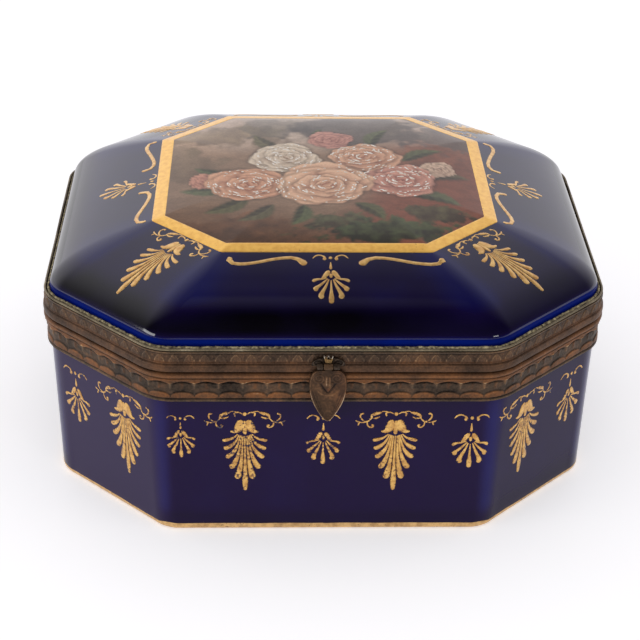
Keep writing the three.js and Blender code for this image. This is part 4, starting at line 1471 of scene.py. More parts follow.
@dataclass(frozen=True)
class PorcelainLid:
    """The lid: upright shoulder, dome, painted panel and white inside, with the panel's gilt border and ornament."""

    surface: LidSurface = LidSurface()
    bottom: float = 78.6
    wall: float = 5.0
    border: float = 5.35
    arc: int = 14
    wall_steps: int = 50
    painting: Painting = Painting()

    def rings(self) -> tuple[Array, Array, Array]:
        """The lid's rings, from the middle of its inside, out and down, round the edge, and up to the middle outside.

        Returns:
            Rings, the LidLook of each step, and which rings are outside.
        """
        inner_q = 1 - np.linspace(1, 0, 15) ** 2
        reach, radius = self.surface.plan_of(inner_q)
        thin = self.wall * np.linspace(0.3, 1, 15)[:, None]
        inside = plan_rings(reach - thin, np.maximum(radius - thin[:, 0], 1.0), self.arc, self.wall_steps)
        inside_z = self.surface.shoulder - self.wall + self.surface.rise * (1 - inner_q) ** self.surface.power
        share = np.array([0.3, 0.6, 0.75, 0.9])
        middle = inside[:1] * share[:, None, None]
        middle_z = inside_z[0] + self.surface.crown * (1 - share**self.surface.crown_power)
        inset = np.array([5.0, 4.6, 0.8, 0.25, 0.0])
        rim = self.surface.rim
        edge = plan_rings(rim.reach()[None] - inset[:, None], rim.radius - inset, self.arc, self.wall_steps)
        edge_z = np.array([self.bottom + 0.5, self.bottom, self.bottom, self.bottom + 0.25, self.bottom + 0.8])
        dome_q = 1 - (np.linspace(0, 1, 34)) ** 2
        panel_q = -np.linspace(0, 1, 109)[1:-1] * self.surface.span
        q = np.concatenate([dome_q, panel_q])
        outer_reach, outer_radius = self.surface.plan_of(q)
        outside = plan_rings(outer_reach, np.maximum(outer_radius, 0.02), self.arc, self.wall_steps)
        flat = np.concatenate([middle, inside, edge, outside])
        z = np.concatenate([middle_z, inside_z, edge_z, self.surface.height(q)])
        rings = np.concatenate([flat, np.broadcast_to(z[:, None, None], (*flat.shape[:2], 1))], axis=2)
        indoors = len(middle) + len(inside) + 2
        look = np.full(len(rings) - 1, LidLook.WHITE)
        look[indoors:] = LidLook.GLAZE
        look[indoors : len(rings) - len(q) + 3] = LidLook.SHOULDER
        look[len(rings) - len(panel_q) + 4 :] = LidLook.PAINTING
        return rings, look, np.arange(len(rings)) >= indoors

    def build(self) -> Piece:
        """Makes the porcelain of the lid with the painting on top. Its thin-glaze value is high round the shoulder,
        lowered by a painted shade above it, and raised by a painted highlight along the hips.

        Returns:
            The piece.
        """
        rings, look, outside = self.rings()
        top = self.surface.height(np.array([-self.surface.span + 1e-6]))[0]
        under = rings[0, 0, 2] + 0.1
        points, faces = closed_rings(rings, np.array([0, 0, under]), np.array([0, 0, top]))
        columns = rings.shape[1]
        fans = np.repeat([LidLook.WHITE, LidLook.PAINTING], columns)
        face_look = np.concatenate([np.repeat(look, columns), fans])
        z = rings[:, :, 2]
        shoulder = smooth_step(z, 84.6, 85.6) * (1 - smooth_step(z, 86.4, 88.8))
        # Painted shade: a near-black band on the dome above the shoulder, weaker towards the right.
        painted_shade_band = smooth_step(z, 87.0, 90.5) * (1 - smooth_step(z, 94.0, 99.0))
        painted_shade_band = painted_shade_band * (1 - 0.55 * smooth_step(rings[:, :, 0], 15, 50))
        mottled = lattice_noise(rings[:, :, 0] + 200, rings[:, :, 1] + 200, 7.0, 81) - 0.5
        block = self.arc + self.wall_steps
        place = np.arange(columns) % block
        # Painted highlight: lighter blue along the hips between the dome's walls, high up.
        hip_highlight = bump(np.minimum(np.maximum(place - self.arc, 0), block - place) / self.wall_steps, 0, 0.09)
        value = 0.35 + (0.6 + 0.35 * mottled) * shoulder - 0.33 * painted_shade_band + 0.2 * hip_highlight * smooth_step(z, 90, 97)
        thin = np.concatenate([(value * outside[:, None]).ravel(), [0.35, 0.35]])
        colour = self.painting.colours(points[:, 0], points[:, 1])
        return make_piece(
            "glazed_lid", points, faces, [LID_GLAZE, WHITE_GLAZE, PAINTED, RIM_GLAZE], Body.LID, Slot.PORCELAIN,
            ["porcelain_lid"], face_look, {"thin": thin}, colour,
        )

    def gild_border(self) -> Piece:
        """The flat gilt border along the panel's edge: a low strip, rounded at both sides, that follows the lid.

        Returns:
            The piece.
        """
        across = np.linspace(0, 1, 13)
        inward = across * self.border
        reach = self.surface.panel.reach()[None] - inward[:, None]
        flat = plan_rings(reach, np.maximum(self.surface.panel.radius - inward, 0.5), 8, 60)
        lift = 0.09 * np.sqrt(np.clip(1 - (2 * across - 1) ** 8, 0, 1)) - 0.02
        ground = self.surface.height(self.surface.parameter(flat.reshape(-1, 2))).reshape(flat.shape[:2])
        top = np.concatenate([flat, (ground + lift[:, None])[..., None]], axis=2)
        bottom = np.concatenate([flat, (ground - 0.12)[..., None]], axis=2)
        rings = np.concatenate([top, bottom[::-1]])
        return make_piece("gilt_panel_border", *hoop(rings), [BORDER_GILDING], Body.LID, Slot.PORCELAIN)

    def gild(self) -> Piece:
        """Small palmettes between scrolls on the four straight slopes, and large palmettes on the slanted ones.

        Returns:
            The piece.
        """
        laid = []
        even = (1.0, 0.0)
        for wall, start, down, size, scroll, left, right in (
            (Wall.FRONT, 1.2, 2.7, 0.91, SCROLL_PAIR, (1.046, 1.78), (1.132, 1.6)),
            (Wall.BACK, 0.0, 2.7, 0.91, SCROLL_PAIR, even, even),
            (Wall.LEFT, 1.6, 2.0, 0.98, SIDE_SCROLL_PAIR, even, even),
            (Wall.RIGHT, -0.4, 2.0, 0.96, SIDE_SCROLL_PAIR, even, even),
        ):
            broad = (1.08, 0.0) if size < 0.95 else even
            patch = LidPatch(self.surface, wall, start)
            laid.append(Laid(SMALL_PALMETTE, self.placer(patch, down, broad, broad), size))
            laid.append(Laid(scroll, self.placer(LidPatch(self.surface, wall), 0.0, left, right)))
        for wall, start, tilt, down in (
            (Wall.FRONT_RIGHT, 5.4, 13.5, 2.1), (Wall.BACK_RIGHT, -4.5, -11.0, 1.8), (Wall.BACK_LEFT, 4.5, 11.0, 1.8),
            (Wall.FRONT_LEFT, -3.3, -10.0, 1.4),
        ):
            patch = LidPatch(self.surface, wall, start, np.radians(tilt))
            laid.append(Laid(LARGE_PALMETTE, self.placer(patch, down, even, even), 0.97))
        return GiltWork("gilding_on_lid", Body.LID, GILDING).build(laid)

    def placer(self, patch: LidPatch, down: float, left: tuple[float, float], right: tuple[float, float]) -> Placer:
        """Makes a function that places a motif on a patch.

        Args:
            patch: the patch of the lid.
            down: how far the motif is moved down the slope.
            left, right: each half's stretch along the border, and its shift to the right.

        Returns:
            The function, from a motif's own places and lifts to points of the lid.
        """
        return lambda x, y, lift: patch.place(
            np.where(x < 0, left[0] * x + left[1], right[0] * x + right[1]), y + down, lift
        )

    def bead_enamel(self) -> Piece:
        """Touches of white enamel on the roses: low domes of a few faces, drawn out along the petals' edges.

        Returns:
            The piece.
        """
        touches = np.concatenate([rose.beads() for rose in self.painting.roses[3:]])
        places, angle = touches[:, :2], touches[:, 2]
        size = 0.2 + 0.34 * lattice_noise(places[:, 0] * 7, places[:, 1] * 7, 1.7, 21)
        turn = np.arange(8) / 8 * TAU
        ring = np.array([1.0, 0.75, 0.0])
        high = np.array([-0.2, 0.5, 0.8])
        spread = ring[:, None, None] * np.stack([np.cos(turn), np.sin(turn)], axis=-1)
        stretch = 1.3 + 3.0 * lattice_noise(places[:, 0], places[:, 1], 1.3, 22) ** 2
        along = np.stack([np.cos(angle), np.sin(angle)], axis=-1)[:, None, None]
        offset = spread[None] * size[:, None, None, None]
        offset = offset + along * (offset * along).sum(axis=-1, keepdims=True) * (stretch - 1)[:, None, None, None]
        flat = places[:, None, None] + offset[:, :2]
        lift = np.broadcast_to((high[:2] * 0.5)[None, :, None] * size[:, None, None], flat.shape[:-1])
        skirt = self.surface.lifted(flat, lift).reshape(len(places), -1, 3)
        tops = self.surface.lifted(places, size * 0.42)[:, None]
        bottoms = self.surface.lifted(places, size * 0 - 0.1)[:, None]
        points = np.concatenate([skirt, tops, bottoms], axis=1)
        column = np.arange(8)
        on = (column + 1) % 8
        quads = np.stack([column, on, 8 + on, 8 + column], axis=1)
        fan = np.stack([8 + column, 8 + on, np.full(8, 16)], axis=1)
        base = np.stack([on, column, np.full(8, 17)], axis=1)
        step = (np.arange(len(places)) * points.shape[1])[:, None, None]
        faces = [(f[None] + step).reshape(-1, f.shape[1]) for f in (quads, fan, base)]
        return make_piece("enamel_beads", points.reshape(-1, 3), faces, [ENAMEL], Body.LID, Slot.PORCELAIN)


def stamped(
    name: str, v: Array, surface: tuple[Array, Array, Array], inner: float, bottom: float, body: Body
) -> Piece:
    """Makes a stamped band round the mount, closed by a plain back.

    Args:
        name: name of the piece; the solid of the same name with its body's prefix is the one it stands for.
        v: heights above the band's lower edge, as a column.
        surface: depth behind the mount's outline, relief and warmth at each height and place round the band.
        inner: depth of the back.
        bottom: height of the lower edge.
        body: body that it rides on.

    Returns:
        The piece.
    """
    columns = surface[0].shape[1]
    behind = np.ones((2, columns))
    depth, relief, warmth = (
        np.concatenate([front + 0 * surface[0], back * behind]) for front, back in zip(surface, (inner, 0.1, 0.1))
    )
    heights = bottom + np.concatenate([v + 0 * surface[0], np.array([[v.max()], [0.0]]) * behind])
    rings = swept(MOUNT_PLAN, columns, depth, heights)
    values = {"relief": np.clip(relief, 0, 1), "warmth": warmth}
    return make_piece(name, *hoop(rings), [BRASS], body, Slot.MOUNT, [f"{body.value}_{name}"], values=values)


@dataclass(frozen=True)
class GalleryBand:
    """Stamped band of the base: arches with hanging tongues above, a sunk ground, and rounded lobes along the foot."""

    top: float = 71.7
    height: float = 9.9
    inner: float = 1.8
    repeats: int = 80
    columns: int = 1760

    def build(self) -> Piece:
        """Makes the band from a depth that depends on the place along it and the height.

        Lobes swell along the foot, below an edge that is a flat arc in each repeat. A roll hangs above, its lower
        edge swinging with the same rhythm over a dark undercut. A tongue hangs in the middle of each arch, and a
        thin pointed leaf stands between arches.

        Returns:
            The piece.
        """
        v = np.linspace(0, self.height, 44)[:, None]
        phase = (np.arange(self.columns) / self.columns * self.repeats * TAU)[None]
        off = np.abs((phase + np.pi) % TAU - np.pi) / np.pi
        lobe_edge = 2.1 + 2.1 * np.sqrt(np.clip(1 - (off / 0.99) ** 2, 0, 1))
        lobe = smooth_step(lobe_edge - v, -0.15, 0.3) * smooth_step(v, 1.25, 1.6)
        swell = np.sqrt(np.clip(1 - (off / 0.99) ** 2, 0, 1)) * (1 - 0.35 * smooth_step(v, 1.4, 4.2))
        roll_edge = self.height - 1.5 + 0.42 * np.cos(phase)
        roll = smooth_step(v - roll_edge, -0.12, 0.2)
        under = bump(v - roll_edge, -0.42, 0.34) * smooth_step(1 - off, 0.12, 0.4)
        tongue = bump(off, 0, 0.13) * smooth_step(v, 4.9, 5.8) * (1 - smooth_step(v, 7.6, 8.2))
        narrow = 0.05 + 0.03 * (v - 5.0)
        point = bump(off, 1, np.maximum(narrow, 0.05)) * smooth_step(v, 5.0, 6.0) * (1 - smooth_step(v, 8.4, 9.0))
        foot = 1 - smooth_step(v, 0.75, 1.0)
        wear = lattice_noise(phase * 3.1, v * 1.5, 1.0, 31) - 0.5
        depth = 1.2 - 0.45 * lobe * (0.5 + 0.5 * swell) - 0.6 * roll - 0.4 * foot + 0.3 * under
        depth = depth - 0.3 * tongue - 0.32 * point + 0.09 * wear
        crest = lobe * bump(lobe_edge - v, 0.55, 0.45)
        uneven = lattice_noise(phase * 0.9, v * 0.8, 1.0, 32) - 0.5
        relief = 0.27 + 0.2 * lobe * (0.6 + 0.5 * swell) + 0.12 * crest + 0.2 * roll + 0.16 * foot - 0.42 * under
        relief = relief + 0.06 * tongue + 0.3 * point + 0.24 * bump(v - roll_edge, 0.25, 0.24) * (0.5 + uneven)
        relief = relief - 0.16 * bump(v - lobe_edge, 0.2, 0.28) - 0.3 * bump(v, 1.3, 0.25) + 0.16 * uneven
        speck = smooth_step(lattice_noise(phase * 5.3, v * 4.0, 1.0, 33), 0.8, 0.95)
        relief = relief + 0.5 * speck * bump(v - roll_edge, 0.0, 0.6) * smooth_step(off, 0.35, 0.9)
        warmth = 0.8 * lobe + 0.75 * roll + 0.6 * tongue + 0.1 + 0.5 * uneven
        surface = (depth, relief, warmth)
        return stamped("gallery_band", v, surface, self.inner, self.top - self.height, Body.BASE)


@dataclass(frozen=True)
class LeafBand:
    """Stamped band of the lid: upright pointed leaves with a raised edge and a rib, over a narrow bead."""

    bottom: float = 78.3
    height: float = 5.1
    inner: float = 1.5
    repeats: int = 127
    columns: int = 2032

    def build(self) -> Piece:
        """Makes the band: a leaf's half width falls from its foot to its point by a power of the height.

        A fine raised line follows the leaf's edge, a rib its middle, and a small knob lies between the points.

        Returns:
            The piece.
        """
        v = np.linspace(0, self.height, 30)[:, None]
        phase = (np.arange(self.columns) / self.columns * self.repeats * TAU)[None]
        off = np.abs((phase + np.pi) % TAU - np.pi) / np.pi
        pitch = MOUNT_PLAN.length() / self.repeats
        up = np.clip((v - 0.8) / 3.3, 0, 1.2)
        outside = (off - 0.68 * (1 - up**1.8)) * pitch / 2
        standing = smooth_step(v, 0.7, 0.95) * (1 - smooth_step(v, 4.15, 4.35))
        leaf_shape = smooth_step(-outside, -0.05, 0.3) * standing
        line = bump(outside, 0.0, 0.15) * standing
        rib = bump(off, 0, 0.06) * leaf_shape * smooth_step(v, 1.0, 1.6)
        knob = bump(off, 1, 0.1) * bump(v, 3.3, 0.36)
        foot = 1 - smooth_step(v, 0.5, 0.75)
        bead = smooth_step(v, 4.35, 4.6)
        wear = lattice_noise(phase * 2.3, v * 1.3, 1.0, 41) - 0.5
        depth = 0.95 - 0.24 * leaf_shape - 0.3 * line - 0.16 * rib - 0.26 * knob + 0.06 * wear
        depth = depth - 0.2 * bead - 0.25 * foot
        gap = smooth_step(outside, 0.1, 0.5) * standing
        relief = 0.34 + 0.02 * leaf_shape + (0.33 + 0.35 * wear) * line - 0.08 * gap + 0.05 * rib + 0.22 * knob
        relief = relief - 0.26 * bump(v, 4.25, 0.2) + 0.16 * bead + 0.04 * foot + 0.14 * wear
        warmth = 0.38 + 0.4 * bump(v, 0.7, 0.5) - 0.3 * bead - 0.4 * line
        return stamped("leaf_band", v, (depth, relief, warmth), self.inner, self.bottom, Body.LID)


@dataclass(frozen=True)
class Rims:
    """The two brass rims: plain mouldings outside, and a thin lip inside the wall. Both are notched for the hinge."""

    hinge_half: float = 35.3
    hinge_y: float = 95.95
    joint: float = 74.5
    groove: float = 1.9
    columns: int = 960

    def sweep(self, name: str, section: Array, relief: Array, warmth: float, body: Body, stands_for: str) -> Piece:
        """Carries a rim's section round, and moves what lies in the hinge's groove to the groove's wall.

        Args:
            name: name of the piece.
            section: depths and heights, anticlockwise with the outside on the right.
            relief: relief value of each section point.
            warmth: how reddish its patina is.
            body: body that it rides on.
            stands_for: solid that it is shown in place of.

        Returns:
            The piece.
        """
        rings = swept(MOUNT_PLAN, self.columns, section[:, 0], section[:, 1])
        x, y, z = rings[..., 0], rings[..., 1], rings[..., 2]
        wear = lattice_noise(np.arange(self.columns)[None] * 0.9, section[:, 1:] * 0.7, 1.0, 51) - 0.5
        dy, dz = y - self.hinge_y, z - self.joint
        reach = np.hypot(dy, dz)
        near = (np.abs(x) < self.hinge_half) & (y > 0) & (reach < self.groove)
        limit = np.sqrt(np.clip(self.groove**2 - dz**2, 0, None))
        rings[..., 1] = np.where(near, self.hinge_y - limit, y)
        shown = np.clip(relief[:, None] + 0.12 * wear, 0, 1)
        return make_piece(
            name, *hoop(rings), [BRASS], body, Slot.MOUNT, [stands_for],
            values={"relief": shown, "warmth": 0 * shown + warmth},
        )

    def build(self) -> list[Piece]:
        """Makes both rims: the base's ends in a half-round bead, the lid's in a quarter-round under a plain face.

        Returns:
            The base's rim and the lid's.
        """
        turn = np.linspace(-np.pi / 3, np.pi / 2, 15)
        bead = np.stack([1.15 - 1.13 * np.cos(turn), 73.15 + 1.13 * np.sin(turn)], axis=1)
        under = [(8.0, 68.0), (7.2, 68.0), (7.2, 71.6), (0.75, 71.6)]
        base_section = np.concatenate([under, bead, [(4.0, 74.3), (8.0, 74.3)]])
        base_relief = np.concatenate([[0.3] * 4, 0.4 + 0.14 * np.cos(turn * 1.05) ** 2, [0.35] * 2])
        quarter = np.linspace(-np.pi / 2, 0, 8)
        low = np.stack([1.2 - 1.15 * np.cos(quarter), 75.85 + 1.15 * np.sin(quarter)], axis=1)
        upper = [(0.0, 76.6), (0.05, 77.1), (0.13, 77.4), (0.1, 77.7), (0.25, 78.1), (0.75, 78.4)]
        inside = [(1.5, 78.4), (1.5, 77.0), (8.1, 77.0), (8.1, 81.0), (8.9, 81.0), (8.9, 74.7)]
        lid_section = np.concatenate([[(4.0, 74.7)], low, upper, inside])
        lid_relief = np.concatenate([[0.3], [0.36] * 8, [0.38, 0.38, 0.33, 0.42, 0.4, 0.33], [0.25] * 6])
        return [
            self.sweep("base_rim_bead", base_section, base_relief, 0.75, Body.BASE, "base_rim"),
            self.sweep("lid_rim_moulding", lid_section, lid_relief - 0.04, 0.55, Body.LID, "lid_rim"),
        ]


@dataclass(frozen=True)
class Bedding:
    """Edge wire and plaster: the wire is round, and the plaster's outer fillet is crumbled."""

    wire_z: float = 84.15
    wire_radius: float = 0.45
    columns: int = 1200
    base_columns: int = 320

    def build(self) -> list[Piece]:
        """Makes the wire, the lid's plaster with its uneven fillet, and the base's plaster.

        Returns:
            The wire and both beds of plaster.
        """
        turn = np.arange(10) / 10 * TAU
        length = np.arange(self.columns) * MOUNT_PLAN.length() / self.columns
        sway = 0.12 * (lattice_noise(length, 0 * length, 23.0, 61) - 0.5)
        depth = (1.2 - self.wire_radius * np.cos(turn))[:, None] + sway
        height = (self.wire_z + self.wire_radius * np.sin(turn))[:, None] + 0 * sway
        wire = swept(MOUNT_PLAN, self.columns, depth, height)
        relief = 0.6 + 0.3 * (lattice_noise(length, 0 * length, 9.0, 62) - 0.5) + 0 * depth
        pieces = [
            make_piece(
                "edge_wire", *hoop(wire), [WIRE_BRASS], Body.LID, Slot.BRIGHT, ["lid_edge_wire"],
                values={"relief": relief},
            )
        ]
        crumb = lattice_noise(length, 0 * length, 1.1, 63) + 0.7 * lattice_noise(length, 0 * length, 3.1, 64) - 0.85
        section = [
            (7.6, 77.3, 0), (2.0, 77.3, 0), (2.0, 83.5, 0), (1.95, 84.1, 0), (2.15, 84.45, 0.2), (2.45, 84.65, 0.4),
            (2.85, 84.75, 0.35), (2.85, 78.3, 0), (7.6, 78.3, 0),
        ]
        part = np.array(section)
        rings = swept(MOUNT_PLAN, self.columns, part[:, :1] + 0 * crumb, part[:, 1:2] + part[:, 2:] * crumb * 0.9)
        pieces.append(make_piece("lid_plaster", *hoop(rings), [PLASTER], Body.LID, Slot.PLASTER, ["lid_bedding"]))
        ring = np.array([(6.7, 70.7), (2.1, 70.7), (2.1, 71.7), (6.7, 71.7)])
        rings = swept(MOUNT_PLAN, self.base_columns, ring[:, 0], ring[:, 1])
        pieces.append(make_piece("base_plaster", *hoop(rings), [PLASTER], Body.BASE, Slot.PLASTER, ["base_bedding"]))
        return pieces


def turned(profile: Array, centre: tuple[float, float], steps: int = 40) -> Skin:
    """Turns a closed profile of x and radius about a line along X.

    Args:
        profile: M x 2 points (x, radius), closed, with the outside on the right of the way it runs.
        centre: y and z of the line.
        steps: facets round.

    Returns:
        Points and faces.
    """
    turn = np.arange(steps) / steps * TAU
    radius = profile[:, 1:]
    points = joined(profile[:, :1], centre[0] + radius * np.cos(turn), centre[1] + radius * np.sin(turn))
    return hoop(points)


def ferrule(middle: float, half: float, bore: float, outer: float, soft: float) -> Array:
    """Profile of a short tube with both outer edges broken, for turning along X.

    Args:
        middle, half: its middle along X, and half its length.
        bore, outer: its radii.
        soft: size of the broken edges.

    Returns:
        Points of x and radius.
    """
    right = [(half, bore), (half, outer - soft), (half - soft, outer)]
    left = [(-x, radius) for x, radius in right[::-1]]
    return np.array([*right, *left]) + np.array([middle, 0.0])


@dataclass(frozen=True)
class Hinge:
    """Long hinge at the back: five knuckles on a pin with round ends."""

    length: float = 70.0
    count: int = 5
    gap: float = 0.3
    outer: float = 1.6
    bore: float = 0.85
    pin: float = 0.8
    centre: tuple[float, float] = (95.95, 74.5)

    def build(self) -> list[Piece]:
        """Makes the knuckles, chamfered at both ends, and the pin.

        Returns:
            The knuckles from left to right, and the pin.
        """
        size = (self.length - (self.count - 1) * self.gap) / self.count
        names = ["base_left", "lid_left", "base_middle", "lid_right", "base_right"]
        pieces = []
        for i, name in enumerate(names):
            x = (i - (self.count - 1) / 2) * (size + self.gap)
            edges = ferrule(x, size / 2, self.bore, self.outer, 0.18)
            profile = np.concatenate([edges[:3], [(x, self.outer)], edges[3:], [(x, self.bore)]])
            body = Body.LID if name.startswith("lid") else Body.BASE
            pieces.append(
                make_piece(
                    f"knuckle_{name}", *turned(profile, self.centre), [BRASS], body, Slot.MOUNT,
                    [f"hinge_knuckle_{name}"], values={"relief": 0.5},
                )
            )
        pieces.append(rod("hinge_rod", self.pin, self.length, self.centre, Body.BASE, "hinge_pin"))
        return pieces


def rod(name: str, radius: float, length: float, centre: tuple[float, float], body: Body, stands_for: str) -> Piece:
    """A drawn rod along X with slightly rounded ends.

    Args:
        name: name of the piece.
        radius: its radius.
        length: its length.
        centre: y and z of its axis.
        body: body that it rides on.
        stands_for: solid that it is shown in place of.

    Returns:
        The piece.
    """
    half, soft = length / 2, 0.3
    turn = np.linspace(0, np.pi / 2, 5)[1:]
    x = np.concatenate([half - soft + soft * np.cos(turn[::-1]), [0], -half + soft - soft * np.cos(turn)])
    r = np.concatenate([radius - soft + soft * np.sin(turn[::-1]), [radius], radius - soft + soft * np.sin(turn)])
    steps = 24
    angle = np.arange(steps) / steps * TAU
    radii = r[:, None]
    rings = joined(x[:, None], centre[0] + radii * np.cos(angle), centre[1] + radii * np.sin(angle))
    solid = closed_rings(rings, np.array([half, *centre]), np.array([-half, *centre]))
    return make_piece(name, *solid, [STEEL], body, Slot.PIN, [stands_for])


@dataclass(frozen=True)
class Hasp:
    """Hasp at the front: a leaf with two scrolls that hangs from a pierced, crowned plate."""

    axis_y: float = -98.2
    axis_z: float = 78.6
    thickness: float = 1.1
    bore: float = 0.65
    knuckle: float = 1.2
    broken_edge: float = 0.12
    plate_y: float = -96.7
    stud_z: float = 66.0

    def half_width(self, y: Array) -> Array:
        """Half the leaf's width at a place below the axis: a smooth line through widths read down the leaf.

        Args:
            y: places below the axis.

        Returns:
            Half widths.
        """
        down = np.array([-23.7, -23.4, -22.6, -21.2, -19.0, -16.5, -14.0, -11.5, -9.0, -6.5, -4.2, -2.7, -1.9, -1.5])
        wide = np.array([0.15, 0.9, 1.75, 2.8, 4.05, 5.25, 6.15, 6.75, 6.98, 6.9, 6.5, 5.75, 4.9, 4.0])
        return np.interp(y, down, wide)

    def build_leaf(self) -> Piece:
        """Makes the leaf from a height over its back.

        The face carries a rim that is rubbed along its lower half, two worn spirals with a double ridge between
        them, a small pointed leaf cut in under the ridge with a fine line round it, and veins that fan out to the
        edge.

        Returns:
            The piece.
        """
        rows, columns = 190, 91
        y = np.linspace(-23.7, -1.5, rows)[:, None]
        u = np.linspace(-1, 1, columns)[None]
        u = np.sign(u) * (1 - (1 - np.abs(u)) ** 1.35)
        half = self.half_width(y)
        x = u * half
        from_edge = half * (1 - np.abs(u))
        round_off = np.sqrt(np.clip(1 - (1 - np.clip(from_edge / 0.45, 0, 1)) ** 2, 0, 1))
        low = smooth_step(-y, 9.0, 12.5)
        rim = bump(from_edge, 0.36, 0.2)
        dx, dy = np.abs(x) - 3.3, y + 4.7
        r, angle = np.hypot(dx, dy), np.arctan2(dy, dx)
        boss = smooth_step(2.9 - r, 0, 0.9)
        spiral = boss * (0.5 + 0.5 * np.cos(TAU * (r / 1.15) - angle + 0.6)) * smooth_step(r, 0.2, 0.8)
        button = bump(r, 0, 0.6)
        ridge = bump(np.abs(x), 0.62, 0.3) * smooth_step(-y, 3.6, 4.6) * (1 - smooth_step(-y, 7.2, 8.4))
        side = 2.9 * np.clip((y + 11.3) / 4.4, 0, 1) ** 0.8 - np.abs(x)
        heart = smooth_step(side, 0.35, 0.9) * (y < -6.6) * (y > -11.3)
        cut = bump(side, 0.0, 0.42) * smooth_step(-y, 6.6, 7.6) * (1 - smooth_step(-y, 11.0, 11.6))
        collar = bump(np.hypot(x, (y + 8.2) * 1.05), 4.3, 0.3) * smooth_step(-y, 9.6, 11.0)
        fan = np.arctan2(np.abs(x), y + 26.0)
        veins = np.cos(fan * 34.0 + 0.5 * np.sin(from_edge * 2)) ** 6 * low * (1 - smooth_step(from_edge, 1.6, 3.4))
        veins = veins * smooth_step(from_edge, 0.6, 1.0)
        rib = bump(x, 0.25, 0.5) * smooth_step(-y, 12.5, 14.0) * (1 - smooth_step(-y, 18.5, 20.5))
        eye = bump(np.hypot(x, (y + 20.6) * 0.8), 1.3, 0.3)
        dapple = lattice_noise(x + 20, y * 0.7, 2.1, 71) - 0.5
        height = 0.14 * rim + 0.17 * spiral + 0.2 * button + 0.16 * heart + 0.3 * ridge + 0.08 * collar + 0.07 * rib
        height = height - 0.3 * cut - 0.12 * veins + 0.06 * eye + 0.05 * dapple
        front = 0.2 + (self.thickness / 2 - 0.2) * round_off + height * round_off
        outer = joined(x, self.axis_y - front, self.axis_z + y)
        back = joined(x, self.axis_y + self.thickness / 2, self.axis_z + y)
        relief = 0.37 + (0.2 + 0.36 * low) * rim + 0.16 * spiral + 0.1 * button + 0.05 * heart + 0.42 * ridge
        relief = relief + 0.2 * collar - 0.36 * cut - 0.2 * veins + 0.1 * eye + 0.16 * dapple - 0.08 * boss
        warm = 0.25 + 0.3 * smooth_step(x + 0 * y, -1.0, 5.0) + 0.9 * heart * smooth_step(-y, 8.6, 10.0)
        points, faces = sheets(outer, back)
        shown = np.concatenate([relief, np.full_like(relief, 0.3)], axis=1)
        tint = np.concatenate([warm, np.full_like(warm, 0.3)], axis=1)
        return make_piece(
            "hasp_leaf_cast", points, faces, [HASP_BRASS], Body.HASP, Slot.MOUNT, ["hasp_leaf"],
            values={"relief": np.clip(shown, 0, 1), "warmth": tint},
        )

    def build_knuckle(self) -> Piece:
        """The leaf's knuckle round the pin, with the tongue that joins it to the leaf."""
        tube = self.tube(0.0, 1.7)
        return make_piece("hasp_knuckle", *tube, [HASP_BRASS], Body.HASP, Slot.MOUNT, values={"relief": 0.5})

    def tube(self, middle: float, half: float) -> Skin:
        """A short tube round the pin, given by its middle and half its length."""
        return turned(ferrule(middle, half, self.bore, self.knuckle, self.broken_edge), (self.axis_y, self.axis_z))

    def build_tongue(self) -> Piece:
        """A short neck between the knuckle and the leaf, narrow in the middle.

        Returns:
            The piece.
        """
        y = np.linspace(-1.75, -0.95, 8)[:, None]
        half = 1.35 + 0.3 * ((y + 1.35) / 0.4) ** 2
        u = np.linspace(-1, 1, 9)[None]
        x = u * half
        face = self.axis_y - 0.5 * np.sqrt(np.clip(1 - 0.7 * u**4, 0, 1))
        neck = sheets(joined(x, face, self.axis_z + y), joined(x, self.axis_y + 0.5, self.axis_z + y))
        return make_piece("hasp_neck", *neck, [HASP_BRASS], Body.HASP, Slot.MOUNT, values={"relief": 0.4})

    def build_plate(self) -> list[Piece]:
        """Makes the plate with its scrolled openwork, the crown, the ears and the pin.

        Returns:
            The openwork, the crown, both ears and the pin.
        """
        rows, columns = 60, 120
        z = np.linspace(-0.3, 2.9, rows)[:, None]
        x = np.linspace(-6.4, 6.4, columns)[None]
        shape = 6.2 * np.sqrt(np.clip(1 - ((z - 0.3) / 2.9) ** 2, 0.02, 1))
        half = np.maximum(shape, 2.4)
        xs = x / 6.4 * half
        scroll = np.cos(np.hypot(np.abs(xs) - 4.0, (z - 0.9) * 1.1) * 4.2 - np.arctan2(z - 0.9, np.abs(xs) - 4.0))
        lift = 0.35 + 0.3 * smooth_step(scroll, -0.2, 0.5) * smooth_step(np.abs(xs), 2.0, 2.6)
        relief = 0.08 + 0.24 * smooth_step(scroll, -0.1, 0.6)
        keep = np.abs(xs) > 2.05
        lift = np.where(keep | (z > 1.6), lift, 0.12)
        height = self.axis_z + z
        openwork = sheets(joined(xs, self.plate_y - lift, height), joined(xs, self.plate_y + 0.02, height))
        shown = {"relief": np.concatenate([relief + 0 * z, np.full((rows, columns), 0.1)], axis=1)}
        pieces = [
            make_piece("hasp_openwork", *openwork, [BRASS], Body.LID, Slot.MOUNT, ["hasp_plate"], values=shown),
            self.build_crown(),
        ]
        for side, name in ((-1, "left"), (1, "right")):
            ear = self.tube(side * 3.1, 1.1)
            pieces.append(make_piece(f"hasp_ear_{name}", *ear, [BRASS], Body.LID, Slot.MOUNT, values={"relief": 0.22}))
        pieces.append(rod("hasp_rod", 0.6, 8.4, (self.axis_y, self.axis_z), Body.LID, "hasp_pin"))
        return pieces

